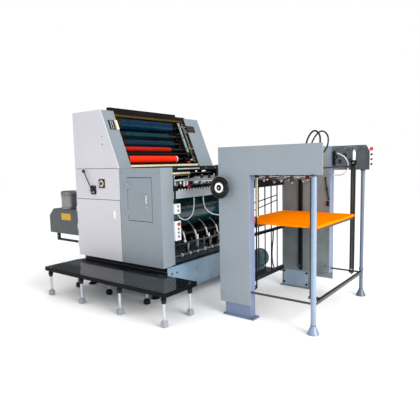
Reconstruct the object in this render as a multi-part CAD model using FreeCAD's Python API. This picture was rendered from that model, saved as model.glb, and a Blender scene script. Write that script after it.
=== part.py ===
"""Single colour sheet-fed offset printing press with its feeder and footboard.

Millimetres, +Z up. X runs along the paper travel towards the feeder, Y runs away from the
operator. Parts are drawn in machine coordinates: x = 0 at the press's left end, y = 0 on the
operator's side cover, z = 0 on the floor. They are saved with the origin in the middle of the
whole machine's footprint, on the floor.
"""
import math
import os

import FreeCAD
import Part

V = FreeCAD.Vector

# ---- printing unit: outline
press_length = 1241.5
press_width = 1547.0
press_height = 1850.0
top_length = 449.5          # flat top, before the slanted front of the inking unit
cover_length = 690.0        # light cover on the operator's side
cover_bottom = 343.0
seam_low = 954.0            # top of the side door
seam_high = 1267.0          # top of the gear covers, foot of the slanted front
panel = 12.0                # skins and doors
seam = 5.0                  # gap between a door and what is round it
hair = 0.3                  # running gap of a seated part

# ---- printing unit: side frames and base
near_cabinet_width = 171.0
far_cabinet_width = 273.0
side_frame = 53.0
frame_inset = 15.0          # side frame inside the cabinet's outline
frame_end = 1235.0
frame_lift = 6.0            # base top below the covers
base_clear = 81.0
base_margin = 20.0
base_inset = 55.0
foot_radius = 45.0
foot_disc = 22.0
foot_stem = 17.0
foot_spots_x = (66.0, 1020.0)
foot_spot_inset = 48.0

# ---- operator's side doors
rim = 40.0                  # frame round the service recess
hatch_x = (797.0, 1126.0)
hatch_z = (765.0, 1181.0)
hatch_depth = 70.0
knuckle_radius = 6.0
knuckle_length = 60.0
knuckle_gap = 0.6
door_knuckles_z = (430.0, 620.0, 810.0)
door_latch_x = (590.0, 612.0)
door_latch_z = (766.0, 847.0)
latch_proud = 8.0
hatch_axis_gap = 8.0        # hinge axis to the edge of the hatch
hatch_knuckle_inset = 50.0
hatch_hinge_reach = 45.0
hatch_hinge_leaf = 5.0
hatch_latch_x = (1044.0, 1066.0)
hatch_latch_z = (930.0, 1024.0)

# ---- operator's controls
lever_pivot_x = 298.0
lever_pivot_z = 1050.0
lever_base = (72.0, 90.0, 16.0)
lever_knob_x = 176.0
lever_knob_z = 1243.0
lever_knob_radius = 17.0
lever_rod_radius = 6.0
lever_hub_radius = 20.0
lever_hub_length = 22.0
dial_x = (388.0, 475.0)
dial_z = (1073.0, 1162.0)
dial_depth = 10.0

# ---- inking unit: name, height of the axis, radius, end of the barrel
roller_start = 196.0
roller_lip = 12.0           # rollers lie this far behind the slanted front
journal_radius = 14.0
rollers = (
    ("ink_drum", 1728.0, 60.0, 1046.0),
    ("rider_roller", 1617.0, 27.0, 920.0),
    ("form_roller", 1530.0, 30.0, 960.0),
    ("red_ink_roller", 1464.0, 24.0, 880.0),
    ("ink_duct_roller", 1356.0, 37.0, 946.0),
)
rail_y = (118.0, 1130.0)
rail_height = 33.0
rail_x = (412.0, 445.0)
rail_tail = 10.0
rail_tail_reach = 30.0
trough_depth = 30.0
trough_set = (10.0, 5.0)    # trough and blade run past the rail, or stop short of it
blade_set = (4.0, 3.0)
blade_height = 22.0
thin_rod_z = 1417.0
thin_rod_inside = 20.0
thin_rod_radius = 6.0
pale_bar_z = (1276.0, 1297.0)
pale_bar_inside = 8.0
pale_bar_depth = 20.0
link_z = (1785.0, 1435.0)
link_depth = (3.0, 16.0)
link_y = (1140.0, 1166.0)
link_pin_inset = 45.0
link_pin_radius = 5.0
back_panel_x = 300.0
sheet = 12.0
rear_top_gap = 14.0

# ---- delivery end, between the side frames
cylinder_x = 900.0
cylinder_z = 800.0
cylinder_radius = 170.0
cylinder_shaft_radius = 35.0
cylinder_end_gap = 29.0
end_bar_x = (1205.0, 1235.0)
end_bar_z = (1238.0, 1275.0)
end_box_y = (860.0, 1000.0)
end_box_bottom = 1175.0
end_box_back = 12.0         # box starts this far behind the bar's face, stops short of the end
end_box_front = 1.5
end_box_rise = 5.0
tape_roller_x = 1190.0
tape_roller_z = 1210.0
tape_roller_radius = 11.0
lay_bar_z = (1088.0, 1138.0)
beam_x = (1195.0, 1241.0)
beam_z = (972.0, 1045.0)
finger_rail_x = (1185.0, 1213.0)
finger_rail_z = (520.0, 536.0)
finger_spots = (350.0, 530.0, 715.0, 900.0, 1085.0)
finger_width = 14.0
finger_top_x = 1100.0
finger_top_z = 715.0
finger_thickness = 9.0
finger_foot_back = 6.0
finger_foot_sink = 4.0
finger_belly = (78.0, 22.0)
wheel_axis_x = 1165.0
wheel_axis_z = 402.0
wheel_radius = 24.0
wheel_width = 22.0
wheel_pitch = 125.0
wheel_first = 360.0
wheel_count = 7
wheel_shaft_radius = 9.0
button_box_y = (160.0, 238.0)
button_box_depth = 27.0
button_boxes_z = ((579.0, 765.0), (832.0, 928.0))

# ---- drive at the left end
drive_reach = 926.0
drive_near = 250.0
drive_width = 450.0
drive_z = (478.0, 781.0)
drive_chamfer = (92.0, 88.0)
motor_x = -640.0
motor_radius = 109.0
motor_top = 997.0
motor_back = 8.0
motor_rounding = 18.0
bracket_bar = 25.0
bracket_inset = 10.0
bracket_lug = 40.0
bracket_z = 388.0
bracket_spots = (-800.0, -300.0)

# ---- footboard
board_length = 1646.0
board_front = -423.0
board_back = -21.0
board_top = 294.0
board_thickness = 40.0
leg_spots_x = (44.0, 540.0, 1074.0, 1598.0)
leg_front_y = -390.0
leg_back_y = -63.0
leg_radius = 11.0
leg_foot_radius = 32.0
leg_foot_height = 55.0
leg_socket_radius = 19.0
leg_socket_height = 24.0
leg_foot_rim = 0.35         # height of the foot's straight rim, share of the foot's height
leg_foot_waist = (0.62, 0.8)

# ---- feeder
feeder_left = 1788.0
feeder_top = 1429.0
feeder_face = 123.0
arm_end = 2703.0
arm_bottom = 1199.0
plate = 10.0
column_right = 2090.0
column_left = 1835.0
column_depth = 70.0
column_lift = 114.0
arm_beam_depth = 40.0
arm_beam_end = 2660.0
arm_beam_top = 1405.0
foot_plate = 12.0
foot_overhang = 16.0
far_column_face = 1193.0
far_column_right = 2346.0
far_column_depth = 97.0
far_column_bottom = 190.0
far_foot_right = 2140.0
far_arm_face = 1255.0
far_arm_end = 2703.0
far_arm_top = 1440.0
far_arm_bottom = 1210.0
far_arm_chamfer = (48.0, 95.0)
post_x = 2635.0
near_post_y = 134.0
far_post_y = 1270.0
near_post_radius = 20.0
far_post_radius = 17.5
post_foot_radius = 46.0
post_foot_height = 66.0
tie_bottom = 224.0
tie_size = 14.0
tie_size_right = 25.0
tie_drop_right = 6.0
control_box = (42.0, 75.0, 237.0)
control_box_bottom = 1206.0
control_box_offset = 25.0

# ---- pile board and its lift
pile_x = (1862.0, 2594.0)
pile_y = (303.0, 1170.0)
pile_top = 800.0
pile_thickness = 22.0
carrier = 30.0
chain_x = (2040.0, 2557.0)
near_chain_y = 290.0
far_chain_y = (1186.0, 1222.0)
chain_width = 10.0
chain_strand = 8.0
chain_span = 38.0
chain_bottom = 236.0
lift_shaft_z = 1240.0
lift_shaft_radius = 9.0
lower_bracket = 15.0        # half the length of a lower wheel's bracket
lower_bracket_half = 9.0
lower_bracket_gap = 4.0
lower_bracket_reach = 40.0
slot_width = 48.0
slot_depth = 18.0

# ---- pile stops, pump and suction head
grille_x = 1840.0
grille_bar_radius = 6.0
grille_first = 320.0
grille_pitch = 125.0
grille_count = 7
grille_rails_z = ((176.0, 216.0), (610.0, 636.0), (1062.0, lay_bar_z[1]))
grille_rail = 26.0
brace_radius = 5.0
brace_heights = ((905.0, 965.0), (830.0, 915.0))
pump_axis_x = 1700.0
pump_near = 660.0
pump_length = 330.0
pump_radius = 92.0
pump_shelf = (230.0, 12.0)
pump_shelf_margin = 40.0
pump_lift = 18.0
pump_nose = (0.55, 30.0)    # radius as a share of the pump's, length
pump_saddle = (60.0, 40.0)
feedboard_left = 1215.0
feedboard_y = (300.0, 1120.0)
feedboard_thickness = 12.0
head_tube_x = 2165.0
head_tube_z = 1330.0
head_tube_radius = 16.0
head_box_x = (2070.0, 2260.0)
head_box_y = (620.0, 800.0)
head_box_z = (1190.0, 1314.0)
sucker_drop = 45.0
sucker_inset = 24.0
sucker_radius = 9.0
head_clamp = 30.0
head_clamp_inset = 20.0
feeler_x = 2560.0
feeler_y = 1150.0
feeler_pin_z = 1412.0
feeler_pin_radius = 12.0
feeler_arch_x = (-80.0, 60.0)       # along x and y these are from the pin
feeler_arch_y = (-20.0, 8.0)
feeler_arch_half = 20.0
feeler_spring = (30.0, -6.0, 13.0)  # x, y, radius
feeler_spring_bottom = 1300.0
feeler_foot_x = (6.0, 52.0)
feeler_foot_y = (-24.0, 8.0)
feeler_foot_bottom = 1240.0

# ---- handwheel
handwheel_x = 1844.0
handwheel_z = 1097.0
handwheel_y = 60.0
handwheel_radius = 92.0
handwheel_rim = 13.0
handwheel_shaft = 12.0
handwheel_web = 5.0
handwheel_hub = (34.0, 14.0, 18.0)  # radius, reach to the front, reach to the back
handwheel_grip = (48.0, -22.0)      # place of the grip from the axis
handwheel_grip_radius = 8.0
handwheel_grip_length = 30.0

# ---- hoses and cables, clipped at both ends: outside radius and route
hose_routes = {
    "air_hose_long": (7.0, (
        (2260, 700, 1285), (2320, 700, 1285), (2368, 610, 1320), (2400, 500, 1405),
        (2452, 425, 1480), (2520, 385, 1545), (2580, 370, 1510), (2592, 350, 1425),
        (2585, 300, 1350), (2580, 235, 1320), (2580, 173, 1320))),
    "air_hose_short": (6.0, (
        (2260, 660, 1235), (2305, 660, 1235), (2375, 580, 1290), (2440, 490, 1385),
        (2505, 420, 1480), (2580, 390, 1540), (2640, 385, 1500), (2650, 360, 1420),
        (2640, 300, 1360), (2630, 235, 1345), (2630, 173, 1345))),
    "white_hose": (6.0, (
        (2400, 1255, 1370), (2400, 1215, 1370), (2430, 1180, 1366), (2490, 1165, 1340),
        (2532, 1160, 1285), (2535, 1162, 1225), (2500, 1175, 1180), (2450, 1195, 1160),
        (2405, 1222, 1160), (2346, 1222, 1160))),
    "near_cable": (6.0, (
        (1215, 171, 850), (1215, 205, 850), (1213, 245, 818), (1210, 300, 770),
        (1208, 370, 750), (1208, 440, 765), (1210, 487, 812), (1213, 500, 880),
        (1215, 500, 930), (1215, 500, 972))),
    "stop_cable": (7.0, (
        (1840, 985, grille_rails_z[1][0]), (1840, 985, 555), (1832, 992, 500), (1816, 1010, 440),
        (1798, 1036, 376), (1780, 1070, 310), (1764, 1110, 248), (1752, 1152, 192),
        (1752, 1197, 153), (1782, 1240, 140), (1835, 1240, 140))),
    "far_cable": (6.0, (
        (1215, 650, 972), (1215, 650, 930), (1212, 662, 880), (1210, 700, 825),
        (1208, 770, 780), (1206, 860, 752), (1205, 960, 735), (1205, 1060, 728),
        (1206, 1150, 730), (1207, 1215, 733), (1207, press_width - far_cabinet_width, 733))),
}

# ---- worked out from the sizes above
far_inner = press_width - far_cabinet_width
frame_base = cover_bottom - frame_lift
slope_run = cover_length - top_length
slope_rise = press_height - seam_high
slope = math.hypot(slope_run, slope_rise)
near_wall_y = near_cabinet_width - side_frame
far_wall_y = far_inner + side_frame
floor_centre = V((control_box[0] + far_arm_end - drive_reach) / 2, (board_front + press_width) / 2, 0)


def front_x(z, inside=0.0):
    """x on the slanted front at height z, moved square into the unit by inside."""
    return top_length + (press_height - z) * slope_run / slope_rise - inside * slope / slope_rise


def box(x, y, z):
    """Block between two x, two y and two z."""
    return Part.makeBox(x[1] - x[0], y[1] - y[0], z[1] - z[0], V(x[0], y[0], z[0]))


def slab(outline, y0, y1):
    """Plate with an outline of (x, z) points, from y0 to y1."""
    points = [V(x, y0, z) for x, z in outline]
    face = Part.Face(Part.makePolygon(points + points[:1]))
    return face.extrude(V(0, y1 - y0, 0))


def rod(radius, start, end):
    """Round bar between two points."""
    start, end = V(*start), V(*end)
    return Part.makeCylinder(radius, (end - start).Length, start, end - start)


def across(x, z, radius, y0, y1):
    """Round bar along y."""
    return rod(radius, (x, y0, z), (x, y1, z))


def upright(x, y, radius, z0, z1):
    """Round bar along z."""
    return rod(radius, (x, y, z0), (x, y, z1))


def fuse(first, *others):
    """One solid from pieces that meet."""
    return first.fuse(list(others)).removeSplitter()


def group(*solids):
    """Separate solids of one node."""
    return Part.makeCompound(list(solids))


def tube_along(points, radius):
    """Hose of straight runs and tangent arcs, as large as the runs allow; its length and bends too."""
    points = [V(*p) for p in points]
    edges = []
    bends = []
    last = points[0]
    for before, corner, after in zip(points, points[1:], points[2:]):
        run_in, run_out = corner - before, after - corner
        half_turn = run_in.getAngle(run_out) / 2
        cut = 0.45 * min(run_in.Length, run_out.Length)
        arc_start = corner - run_in.normalize() * cut
        arc_end = corner + run_out.normalize() * cut
        bend = cut / math.tan(half_turn)
        bends.append(round(bend))
        sag = bend * (1 / math.cos(half_turn) - 1)
        inward = (arc_start + arc_end - corner * 2).normalize()
        edges.append(Part.LineSegment(last, arc_start).toShape())
        edges.append(Part.Arc(arc_start, corner + inward * sag, arc_end).toShape())
        last = arc_end
    edges.append(Part.LineSegment(last, points[-1]).toShape())
    path = Part.Wire(edges)
    ring = Part.Wire(Part.Circle(points[0], points[1] - points[0], radius).toShape())
    return path.makePipeShell([ring], True, False), path.Length, bends


def cabinet_outline(inset=0.0, bottom=seam_high):
    """Side view of an upper cabinet, drawn in by inset."""
    left = 2 * inset
    top = press_height - inset
    return [(left, bottom), (left, top), (front_x(top, inset), top), (front_x(bottom, inset), bottom)]


# ---------------------------------------------------------------- printing unit: body

def base_frame():
    width = (base_inset, press_width - base_inset)
    return box((base_margin, press_length - 2), width, (base_clear, frame_base))


def press_feet():
    feet = []
    for x in foot_spots_x:
        for y in (base_inset + foot_spot_inset, press_width - base_inset - foot_spot_inset):
            feet.append(fuse(upright(x, y, foot_radius, 0, foot_disc),
                             upright(x, y, foot_stem, foot_disc, base_clear)))
    return group(*feet)


def side_frame_plate(y0):
    """Cast side wall: a tall part in the cabinet and a lower part out to the delivery end."""
    tall = slab(cabinet_outline(frame_inset, frame_base), y0, y0 + side_frame)
    keep = box((0, press_length), (y0, y0 + side_frame), (frame_base, press_height))
    low = box((2 * frame_inset, frame_end), (y0, y0 + side_frame), (frame_base, seam_high))
    below_slope = tall.common(keep).cut(box((2 * frame_inset, press_length), (y0, y0 + side_frame),
                                            (frame_base, seam_high)))
    return fuse(low, below_slope)


def upper_cabinet(y0, y1, frame_y):
    """Sheet cabinet round the upper end of a side frame."""
    pocket = slab(cabinet_outline(frame_inset), frame_y, frame_y + side_frame)
    return slab(cabinet_outline(), y0, y1).cut(pocket)


def near_upper_cabinet():
    return upper_cabinet(panel, near_cabinet_width, near_wall_y)


def far_cabinet():
    """Gear side of the press: upper cabinet and gear cover in one."""
    low = box((0, press_length), (far_wall_y, press_width), (cover_bottom, seam_high))
    return fuse(upper_cabinet(far_inner, press_width, far_inner), low)


def light_panels():
    half = seam / 2
    upper = slab(cabinet_outline(0, seam_high + half), 0, panel)
    middle = box((0, cover_length), (0, panel), (seam_low + half, seam_high - half))
    return group(upper, middle)


def near_lower_cabinet():
    """Housing behind the middle panel, with a rim round the recess behind the side door."""
    head = box((0, cover_length), (panel, near_wall_y), (seam_low, seam_high))
    rim_block = box((0, cover_length), (panel + seam, near_wall_y), (cover_bottom, seam_low))
    recess = box((rim, cover_length - rim), (panel, near_wall_y), (cover_bottom + rim, seam_low - rim))
    return fuse(head, rim_block.cut(recess))


def side_door():
    leaf = box((0, cover_length - seam), (0, panel), (cover_bottom, seam_low - seam / 2))
    axis_x = -knuckle_radius - knuckle_gap
    parts = []
    for z in door_knuckles_z:
        parts.append(upright(axis_x, panel + seam, knuckle_radius, z, z + knuckle_length))
        parts.append(box((axis_x - knuckle_radius, 2), (0, panel), (z, z + knuckle_length)))
    latch = box(door_latch_x, (-latch_proud, 0), door_latch_z)
    return fuse(leaf, latch, *parts)


def gear_cover():
    block = box((cover_length + 2, press_length), (0, near_wall_y), (cover_bottom, seam_high))
    return block.cut(box(hatch_x, (0, hatch_depth), hatch_z))


def gear_cover_hatch():
    leaf = box((hatch_x[0] + seam, hatch_x[1] - seam), (0, panel), (hatch_z[0] + seam, hatch_z[1] - seam))
    axis_x = hatch_x[0] - hatch_axis_gap
    reach = axis_x + hatch_hinge_reach
    axis_y = -knuckle_radius - knuckle_gap
    parts = []
    for z in (hatch_z[0] + hatch_knuckle_inset, hatch_z[1] - hatch_knuckle_inset - knuckle_length):
        parts.append(upright(axis_x, axis_y, knuckle_radius, z, z + knuckle_length))
        parts.append(box((axis_x, reach), (axis_y, axis_y + hatch_hinge_leaf), (z, z + knuckle_length)))
        parts.append(box((hatch_x[0] + seam, reach), (axis_y, 0), (z, z + knuckle_length)))
    latch = box(hatch_latch_x, (-latch_proud, 0), hatch_latch_z)
    return fuse(leaf, latch, *parts)


def rear_cover():
    """Folded sheet that closes the left end and the top between the cabinets."""
    end = box((0, sheet), (near_cabinet_width, far_inner), (cover_bottom, press_height - frame_inset))
    top = box((0, rail_x[0] - rear_top_gap), (near_cabinet_width, far_inner),
              (press_height - frame_inset - sheet, press_height - frame_inset))
    return fuse(end, top)


def inner_panels():
    """Black sheet behind the rollers and over the cylinders."""
    back = box((back_panel_x, back_panel_x + sheet), (near_cabinet_width, far_inner),
               (end_bar_z[0], press_height - frame_inset - sheet))
    deck = box((back_panel_x, end_bar_x[0]), (near_cabinet_width, far_inner),
               (end_bar_z[0], end_bar_z[0] + sheet))
    return fuse(back, deck)


# ---------------------------------------------------------------- operator's controls

def control_plates():
    """Lever base and the square dial plate, screwed to the middle panel."""
    base = box((lever_pivot_x - lever_base[0] / 2, lever_pivot_x + lever_base[0] / 2),
               (-lever_base[2], 0), (lever_pivot_z - lever_base[1] / 2, lever_pivot_z + lever_base[1] / 2))
    dial = box(dial_x, (-dial_depth, 0), dial_z)
    return group(base, dial)


def operating_lever():
    """Hub, thin stick and ball knob; stick and ball are turned together round the stick's axis."""
    hub_back = -lever_base[2] - hair
    hub = across(lever_pivot_x, lever_pivot_z, lever_hub_radius, hub_back - lever_hub_length, hub_back)
    lever_y = hub_back - lever_hub_length / 2
    along = V(lever_knob_x - lever_pivot_x, 0, lever_knob_z - lever_pivot_z)
    ball, thin = lever_knob_radius, lever_rod_radius
    meet = along.Length - math.sqrt(ball ** 2 - thin ** 2)
    outline = Part.Wire([
        Part.makeLine(V(0, 0, 0), V(thin, 0, 0)),
        Part.makeLine(V(thin, 0, 0), V(thin, 0, meet)),
        Part.Arc(V(thin, 0, meet), V(ball, 0, along.Length), V(0, 0, along.Length + ball)).toShape(),
        Part.makeLine(V(0, 0, along.Length + ball), V(0, 0, 0)),
    ])
    stick = Part.Face(outline).revolve(V(0, 0, 0), V(0, 0, 1), 360)
    pivot = V(lever_pivot_x, lever_y, lever_pivot_z)
    stick.Placement = FreeCAD.Placement(pivot, FreeCAD.Rotation(V(0, 0, 1), along))
    return fuse(hub, stick)


# ---------------------------------------------------------------- inking unit

def roller(z, radius, barrel_end):
    """Barrel with a journal at each end, held between the side frames."""
    x = front_x(z, radius + roller_lip)
    journal = across(x, z, journal_radius, near_cabinet_width + hair, far_inner - hair)
    return fuse(journal, across(x, z, radius, roller_start, barrel_end))


def ink_duct():
    """Black rail over the top edge with the duct's trough, and the brass blade under it."""
    rail = box(rail_x, rail_y, (press_height, press_height + rail_height))
    tail = box(rail_x, (rail_y[1], far_inner + rail_tail_reach), (press_height, press_height + rail_tail))
    trough = box((rail_x[0] - trough_set[0], rail_x[1] - trough_set[1]), (near_cabinet_width, far_inner),
                 (press_height - trough_depth, press_height))
    top = press_height - trough_depth - hair
    blade = box((rail_x[0] - blade_set[0], rail_x[1] + blade_set[1]), (near_cabinet_width, far_inner),
                (top - blade_height, top))
    return group(fuse(rail, tail, trough), blade)


def ink_guard_bars():
    """Thin rod over the duct roller and the pale bar along the foot of the opening."""
    thin_x = front_x(thin_rod_z, thin_rod_inside)
    thin = across(thin_x, thin_rod_z, thin_rod_radius, near_cabinet_width, far_inner)
    pale_x = front_x(pale_bar_z[1], pale_bar_inside)
    pale = box((pale_x - pale_bar_depth, pale_x), (near_cabinet_width, far_inner), pale_bar_z)
    return group(thin, pale, throw_off_link())


def throw_off_link():
    """Long link beside the far frame, parallel to the slanted front, on two pins."""
    high, low = link_z
    near, deep = link_depth
    outline = [(front_x(high, near), high), (front_x(low, near), low),
               (front_x(low, deep), low), (front_x(high, deep), high)]
    link = slab(outline, link_y[0], link_y[1])
    pins = []
    for z in (high - link_pin_inset, low + link_pin_inset):
        pins.append(across(front_x(z, (near + deep) / 2), z, link_pin_radius, link_y[0], far_inner))
    return fuse(link, *pins)


# ---------------------------------------------------------------- delivery end

def impression_cylinder():
    shaft = across(cylinder_x, cylinder_z, cylinder_shaft_radius, near_cabinet_width + hair, far_inner - hair)
    barrel = across(cylinder_x, cylinder_z, cylinder_radius, near_cabinet_width + cylinder_end_gap,
                    far_inner - cylinder_end_gap)
    return fuse(shaft, barrel)


def end_bars():
    """Cross bars of the delivery end: the top bar with its box, the lay bar and the grey beam."""
    top = box(end_bar_x, (near_cabinet_width, far_inner), end_bar_z)
    gear_box = box((end_bar_x[0] + end_box_back, press_length - end_box_front), end_box_y,
                   (end_box_bottom, end_bar_z[1] + end_box_rise))
    lay = box(end_bar_x, (near_cabinet_width, far_inner), lay_bar_z)
    beam = box(beam_x, (near_cabinet_width, far_inner), beam_z)
    return group(fuse(top, gear_box), lay, beam)


def tape_roller():
    ends = (near_cabinet_width + hair, far_inner - hair)
    return across(tape_roller_x, tape_roller_z, tape_roller_radius, *ends)


def feedboard():
    """Flat board from the lay bar to the top rail of the pile stops."""
    under = lay_bar_z[1]
    span = (feedboard_left, grille_x + grille_rail / 2)
    return box(span, feedboard_y, (under, under + feedboard_thickness))


def delivery_fingers():
    """Rail with a row of curved fingers over the delivery wheels."""
    rail = box(finger_rail_x, (near_cabinet_width, far_inner), finger_rail_z)
    foot_x, foot_z = finger_rail_x[1] - finger_foot_back, finger_rail_z[1] - finger_foot_sink
    fingers = []
    for y in finger_spots:
        start = V(finger_top_x, y, finger_top_z)
        middle = V(finger_top_x + finger_belly[0], y, (finger_top_z + foot_z) / 2 + finger_belly[1])
        end = V(foot_x, y, foot_z)
        edge = Part.Arc(start, middle, end).toShape()
        strip = edge.extrude(V(-finger_thickness, 0, 0)).extrude(V(0, finger_width, 0))
        fingers.append(strip)
    return fuse(rail, *fingers)


def delivery_wheels():
    ends = (near_cabinet_width + hair, far_inner - hair)
    half = wheel_width / 2
    shaft = across(wheel_axis_x, wheel_axis_z, wheel_shaft_radius, *ends)
    wheels = []
    for i in range(wheel_count):
        y = wheel_first + i * wheel_pitch
        wheels.append(across(wheel_axis_x, wheel_axis_z, wheel_radius, y - half, y + half))
    return fuse(shaft, *wheels)


def control_boxes():
    """Two button boxes on the near side frame, and the one on the end of the far arm."""
    boxes = [box((frame_end, frame_end + button_box_depth), button_box_y, z) for z in button_boxes_z]
    arm_y = (far_arm_face - control_box_offset, far_arm_face - control_box_offset + control_box[1])
    boxes.append(box((far_arm_end, far_arm_end + control_box[0]), arm_y,
                     (control_box_bottom, control_box_bottom + control_box[2])))
    return group(*boxes)


# ---------------------------------------------------------------- drive at the left end

def drive_housing():
    left, right = -drive_reach, 0.0
    bottom, top = drive_z
    outline = [(left, bottom), (left, top - drive_chamfer[1]), (left + drive_chamfer[0], top),
               (right, top), (right, bottom)]
    return slab(outline, drive_near, drive_near + drive_width)


def drive_motor():
    body = upright(motor_x, drive_near + motor_radius + motor_back, motor_radius, drive_z[1], motor_top)
    rim_edges = [e for e in body.Edges if abs(e.CenterOfMass.z - motor_top) < 0.01]
    return body.makeFillet(motor_rounding, rim_edges)


def drive_bracket():
    """Two black rails under the drive housing, on lugs, bolted to the end cover."""
    rails = []
    for y in (drive_near + bracket_inset, drive_near + drive_width - bracket_inset - bracket_bar):
        depth = (y, y + bracket_bar)
        rail = box((bracket_spots[0], 0), depth, (bracket_z, bracket_z + bracket_bar))
        lugs = [box((x, x + bracket_lug), depth, (bracket_z, drive_z[0])) for x in bracket_spots]
        rails.append(fuse(rail, *lugs))
    return group(*rails)


# ---------------------------------------------------------------- footboard

def footboard():
    under = board_top - board_thickness
    deck = box((0, board_length), (board_front, board_back), (under, board_top))
    tongue = box((base_margin, press_length - 2), (board_back, base_inset), (under, board_top))
    sockets = []
    for x in leg_spots_x:
        for y in (leg_front_y, leg_back_y):
            sockets.append(upright(x, y, leg_socket_radius, under - leg_socket_height, under))
    return fuse(deck, tongue, *sockets)


def board_leg(x, y):
    """Thin tube on a bell-shaped foot."""
    top = board_top - board_thickness - leg_socket_height
    waist, waist_height = leg_foot_waist
    profile = Part.makePolygon([V(0, 0, 0), V(leg_foot_radius, 0, 0),
                                V(leg_foot_radius, 0, leg_foot_rim * leg_foot_height),
                                V(waist * leg_foot_radius, 0, waist_height * leg_foot_height),
                                V(leg_radius, 0, leg_foot_height), V(leg_radius, 0, top),
                                V(0, 0, top), V(0, 0, 0)])
    leg = Part.Face(profile).revolve(V(0, 0, 0), V(0, 0, 1), 360)
    leg.translate(V(x, y, 0))
    return leg


def footboard_legs():
    return group(*[board_leg(x, y) for x in leg_spots_x for y in (leg_front_y, leg_back_y)])


# ---------------------------------------------------------------- feeder

def near_arm_cover():
    outline = [(feeder_left, column_lift), (feeder_left, feeder_top), (arm_end, feeder_top),
               (arm_end, arm_bottom), (column_right, arm_bottom), (column_right, column_lift)]
    return slab(outline, feeder_face, feeder_face + plate)


def near_column():
    back = feeder_face + plate
    column = box((column_left, column_right), (back, back + column_depth), (foot_plate, arm_beam_top))
    beam = box((feeder_left + plate, arm_beam_end), (back, back + arm_beam_depth), (arm_bottom, arm_beam_top))
    foot = box((column_left - foot_overhang, column_right + 2 * foot_overhang),
               (back - foot_overhang, back + column_depth + foot_overhang), (0, foot_plate))
    return fuse(column, beam, foot)


def far_column():
    """Wide column with a chain slot, a foot and the far arm, all one casting."""
    depth = (far_column_face, far_column_face + far_column_depth)
    column = box((column_left, far_column_right), depth, (far_column_bottom, far_arm_top))
    foot_block = box((column_left, far_foot_right), depth, (foot_plate, far_column_bottom))
    foot = box((column_left - foot_overhang, far_foot_right + foot_overhang),
               (depth[0] - foot_overhang, depth[1] + foot_overhang), (0, foot_plate))
    slot = box((chain_x[0] - slot_width / 2, chain_x[0] + slot_width / 2),
               (far_column_face, far_column_face + slot_depth), (far_column_bottom, far_arm_top))
    return fuse(column, foot_block, foot, far_arm()).cut(slot)


def far_arm():
    """Far arm beam with a cut lower corner at its free end."""
    cut_x, cut_z = far_arm_chamfer
    outline = [(far_column_right, far_arm_bottom), (far_column_right, far_arm_top),
               (far_arm_end - cut_x, far_arm_top), (far_arm_end, far_arm_top - cut_z), (far_arm_end, far_arm_bottom)]
    return slab(outline, far_arm_face, far_column_face + far_column_depth)


def far_arm_cover():
    """Outer plate of the far side, over the column and the arm."""
    back = far_column_face + far_column_depth
    cut_x, cut_z = far_arm_chamfer
    outline = [(column_left, column_lift), (column_left, far_arm_top), (far_arm_end - cut_x, far_arm_top),
               (far_arm_end, far_arm_top - cut_z), (far_arm_end, far_arm_bottom),
               (far_column_right, far_arm_bottom),
               (far_column_right, column_lift)]
    return slab(outline, back, back + plate)


def post(y, radius, top):
    foot = Part.makeCone(post_foot_radius, radius, post_foot_height, V(post_x, y, 0))
    return fuse(foot, upright(post_x, y, radius, post_foot_height, top))


def outer_posts():
    near = post(near_post_y, near_post_radius, arm_bottom)
    far = post(far_post_y, far_post_radius, far_arm_bottom)
    return group(near, far)


def tie_bars():
    """Low bars from the columns to the posts and between the posts."""
    posts = outer_posts()
    low = (tie_bottom, tie_bottom + tie_size)
    near = box((column_right, post_x), (near_post_y, near_post_y + tie_size), low)
    far = box((far_column_right, post_x), (far_post_y - tie_size, far_post_y), low)
    right = box((post_x - tie_size_right / 2, post_x + tie_size_right / 2), (near_post_y, far_post_y),
                (tie_bottom - tie_drop_right, tie_bottom - tie_drop_right + tie_size_right))
    return group(near.cut(posts).cut(right), far.cut(posts).cut(right), right.cut(posts))


def handwheel():
    centre = V(handwheel_x, handwheel_y, handwheel_z)
    middle = handwheel_radius - handwheel_rim
    hub_radius, hub_front, hub_back = handwheel_hub
    grip_x, grip_z = handwheel_grip
    ring = Part.makeTorus(middle, handwheel_rim, centre, V(0, 1, 0))
    web = across(handwheel_x, handwheel_z, middle, handwheel_y - handwheel_web, handwheel_y + handwheel_web)
    hub = across(handwheel_x, handwheel_z, hub_radius, handwheel_y - hub_front, handwheel_y + hub_back)
    shaft = across(handwheel_x, handwheel_z, handwheel_shaft, handwheel_y, feeder_face - hair)
    grip = across(handwheel_x + grip_x, handwheel_z + grip_z, handwheel_grip_radius,
                  handwheel_y - handwheel_grip_length, handwheel_y)
    return fuse(ring, web, hub, shaft, grip)


# ---------------------------------------------------------------- pile and lift

def pile_board():
    """Board on two carrier bars that reach from chain to chain."""
    under = pile_top - pile_thickness
    board = box(pile_x, pile_y, (under, pile_top))
    near_end = near_chain_y + chain_width / 2 + hair
    bars = []
    for x, far in zip(chain_x, far_chain_y):
        far_end = far - chain_width / 2 - hair
        bars.append(box((x - carrier / 2, x + carrier / 2), (near_end, far_end), (under - carrier, under)))
    return fuse(board, *bars)


def chain_spots():
    """Centre x, y and width of each of the four lifting chains."""
    spots = []
    for x, far in zip(chain_x, far_chain_y):
        spots += [(x, near_chain_y), (x, far)]
    return spots


def lift_chains():
    """Each chain is one closed loop over an upper and a lower wheel."""
    loops = []
    for x, y in chain_spots():
        depth = (y - chain_width / 2, y + chain_width / 2)
        outer = box((x - chain_span / 2, x + chain_span / 2), depth,
                    (chain_bottom - chain_span / 2, lift_shaft_z + chain_span / 2))
        half = chain_span / 2 - chain_strand
        inner = box((x - half, x + half), depth, (chain_bottom - half, lift_shaft_z + half))
        loops.append(outer.cut(inner))
    return group(*loops)


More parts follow.
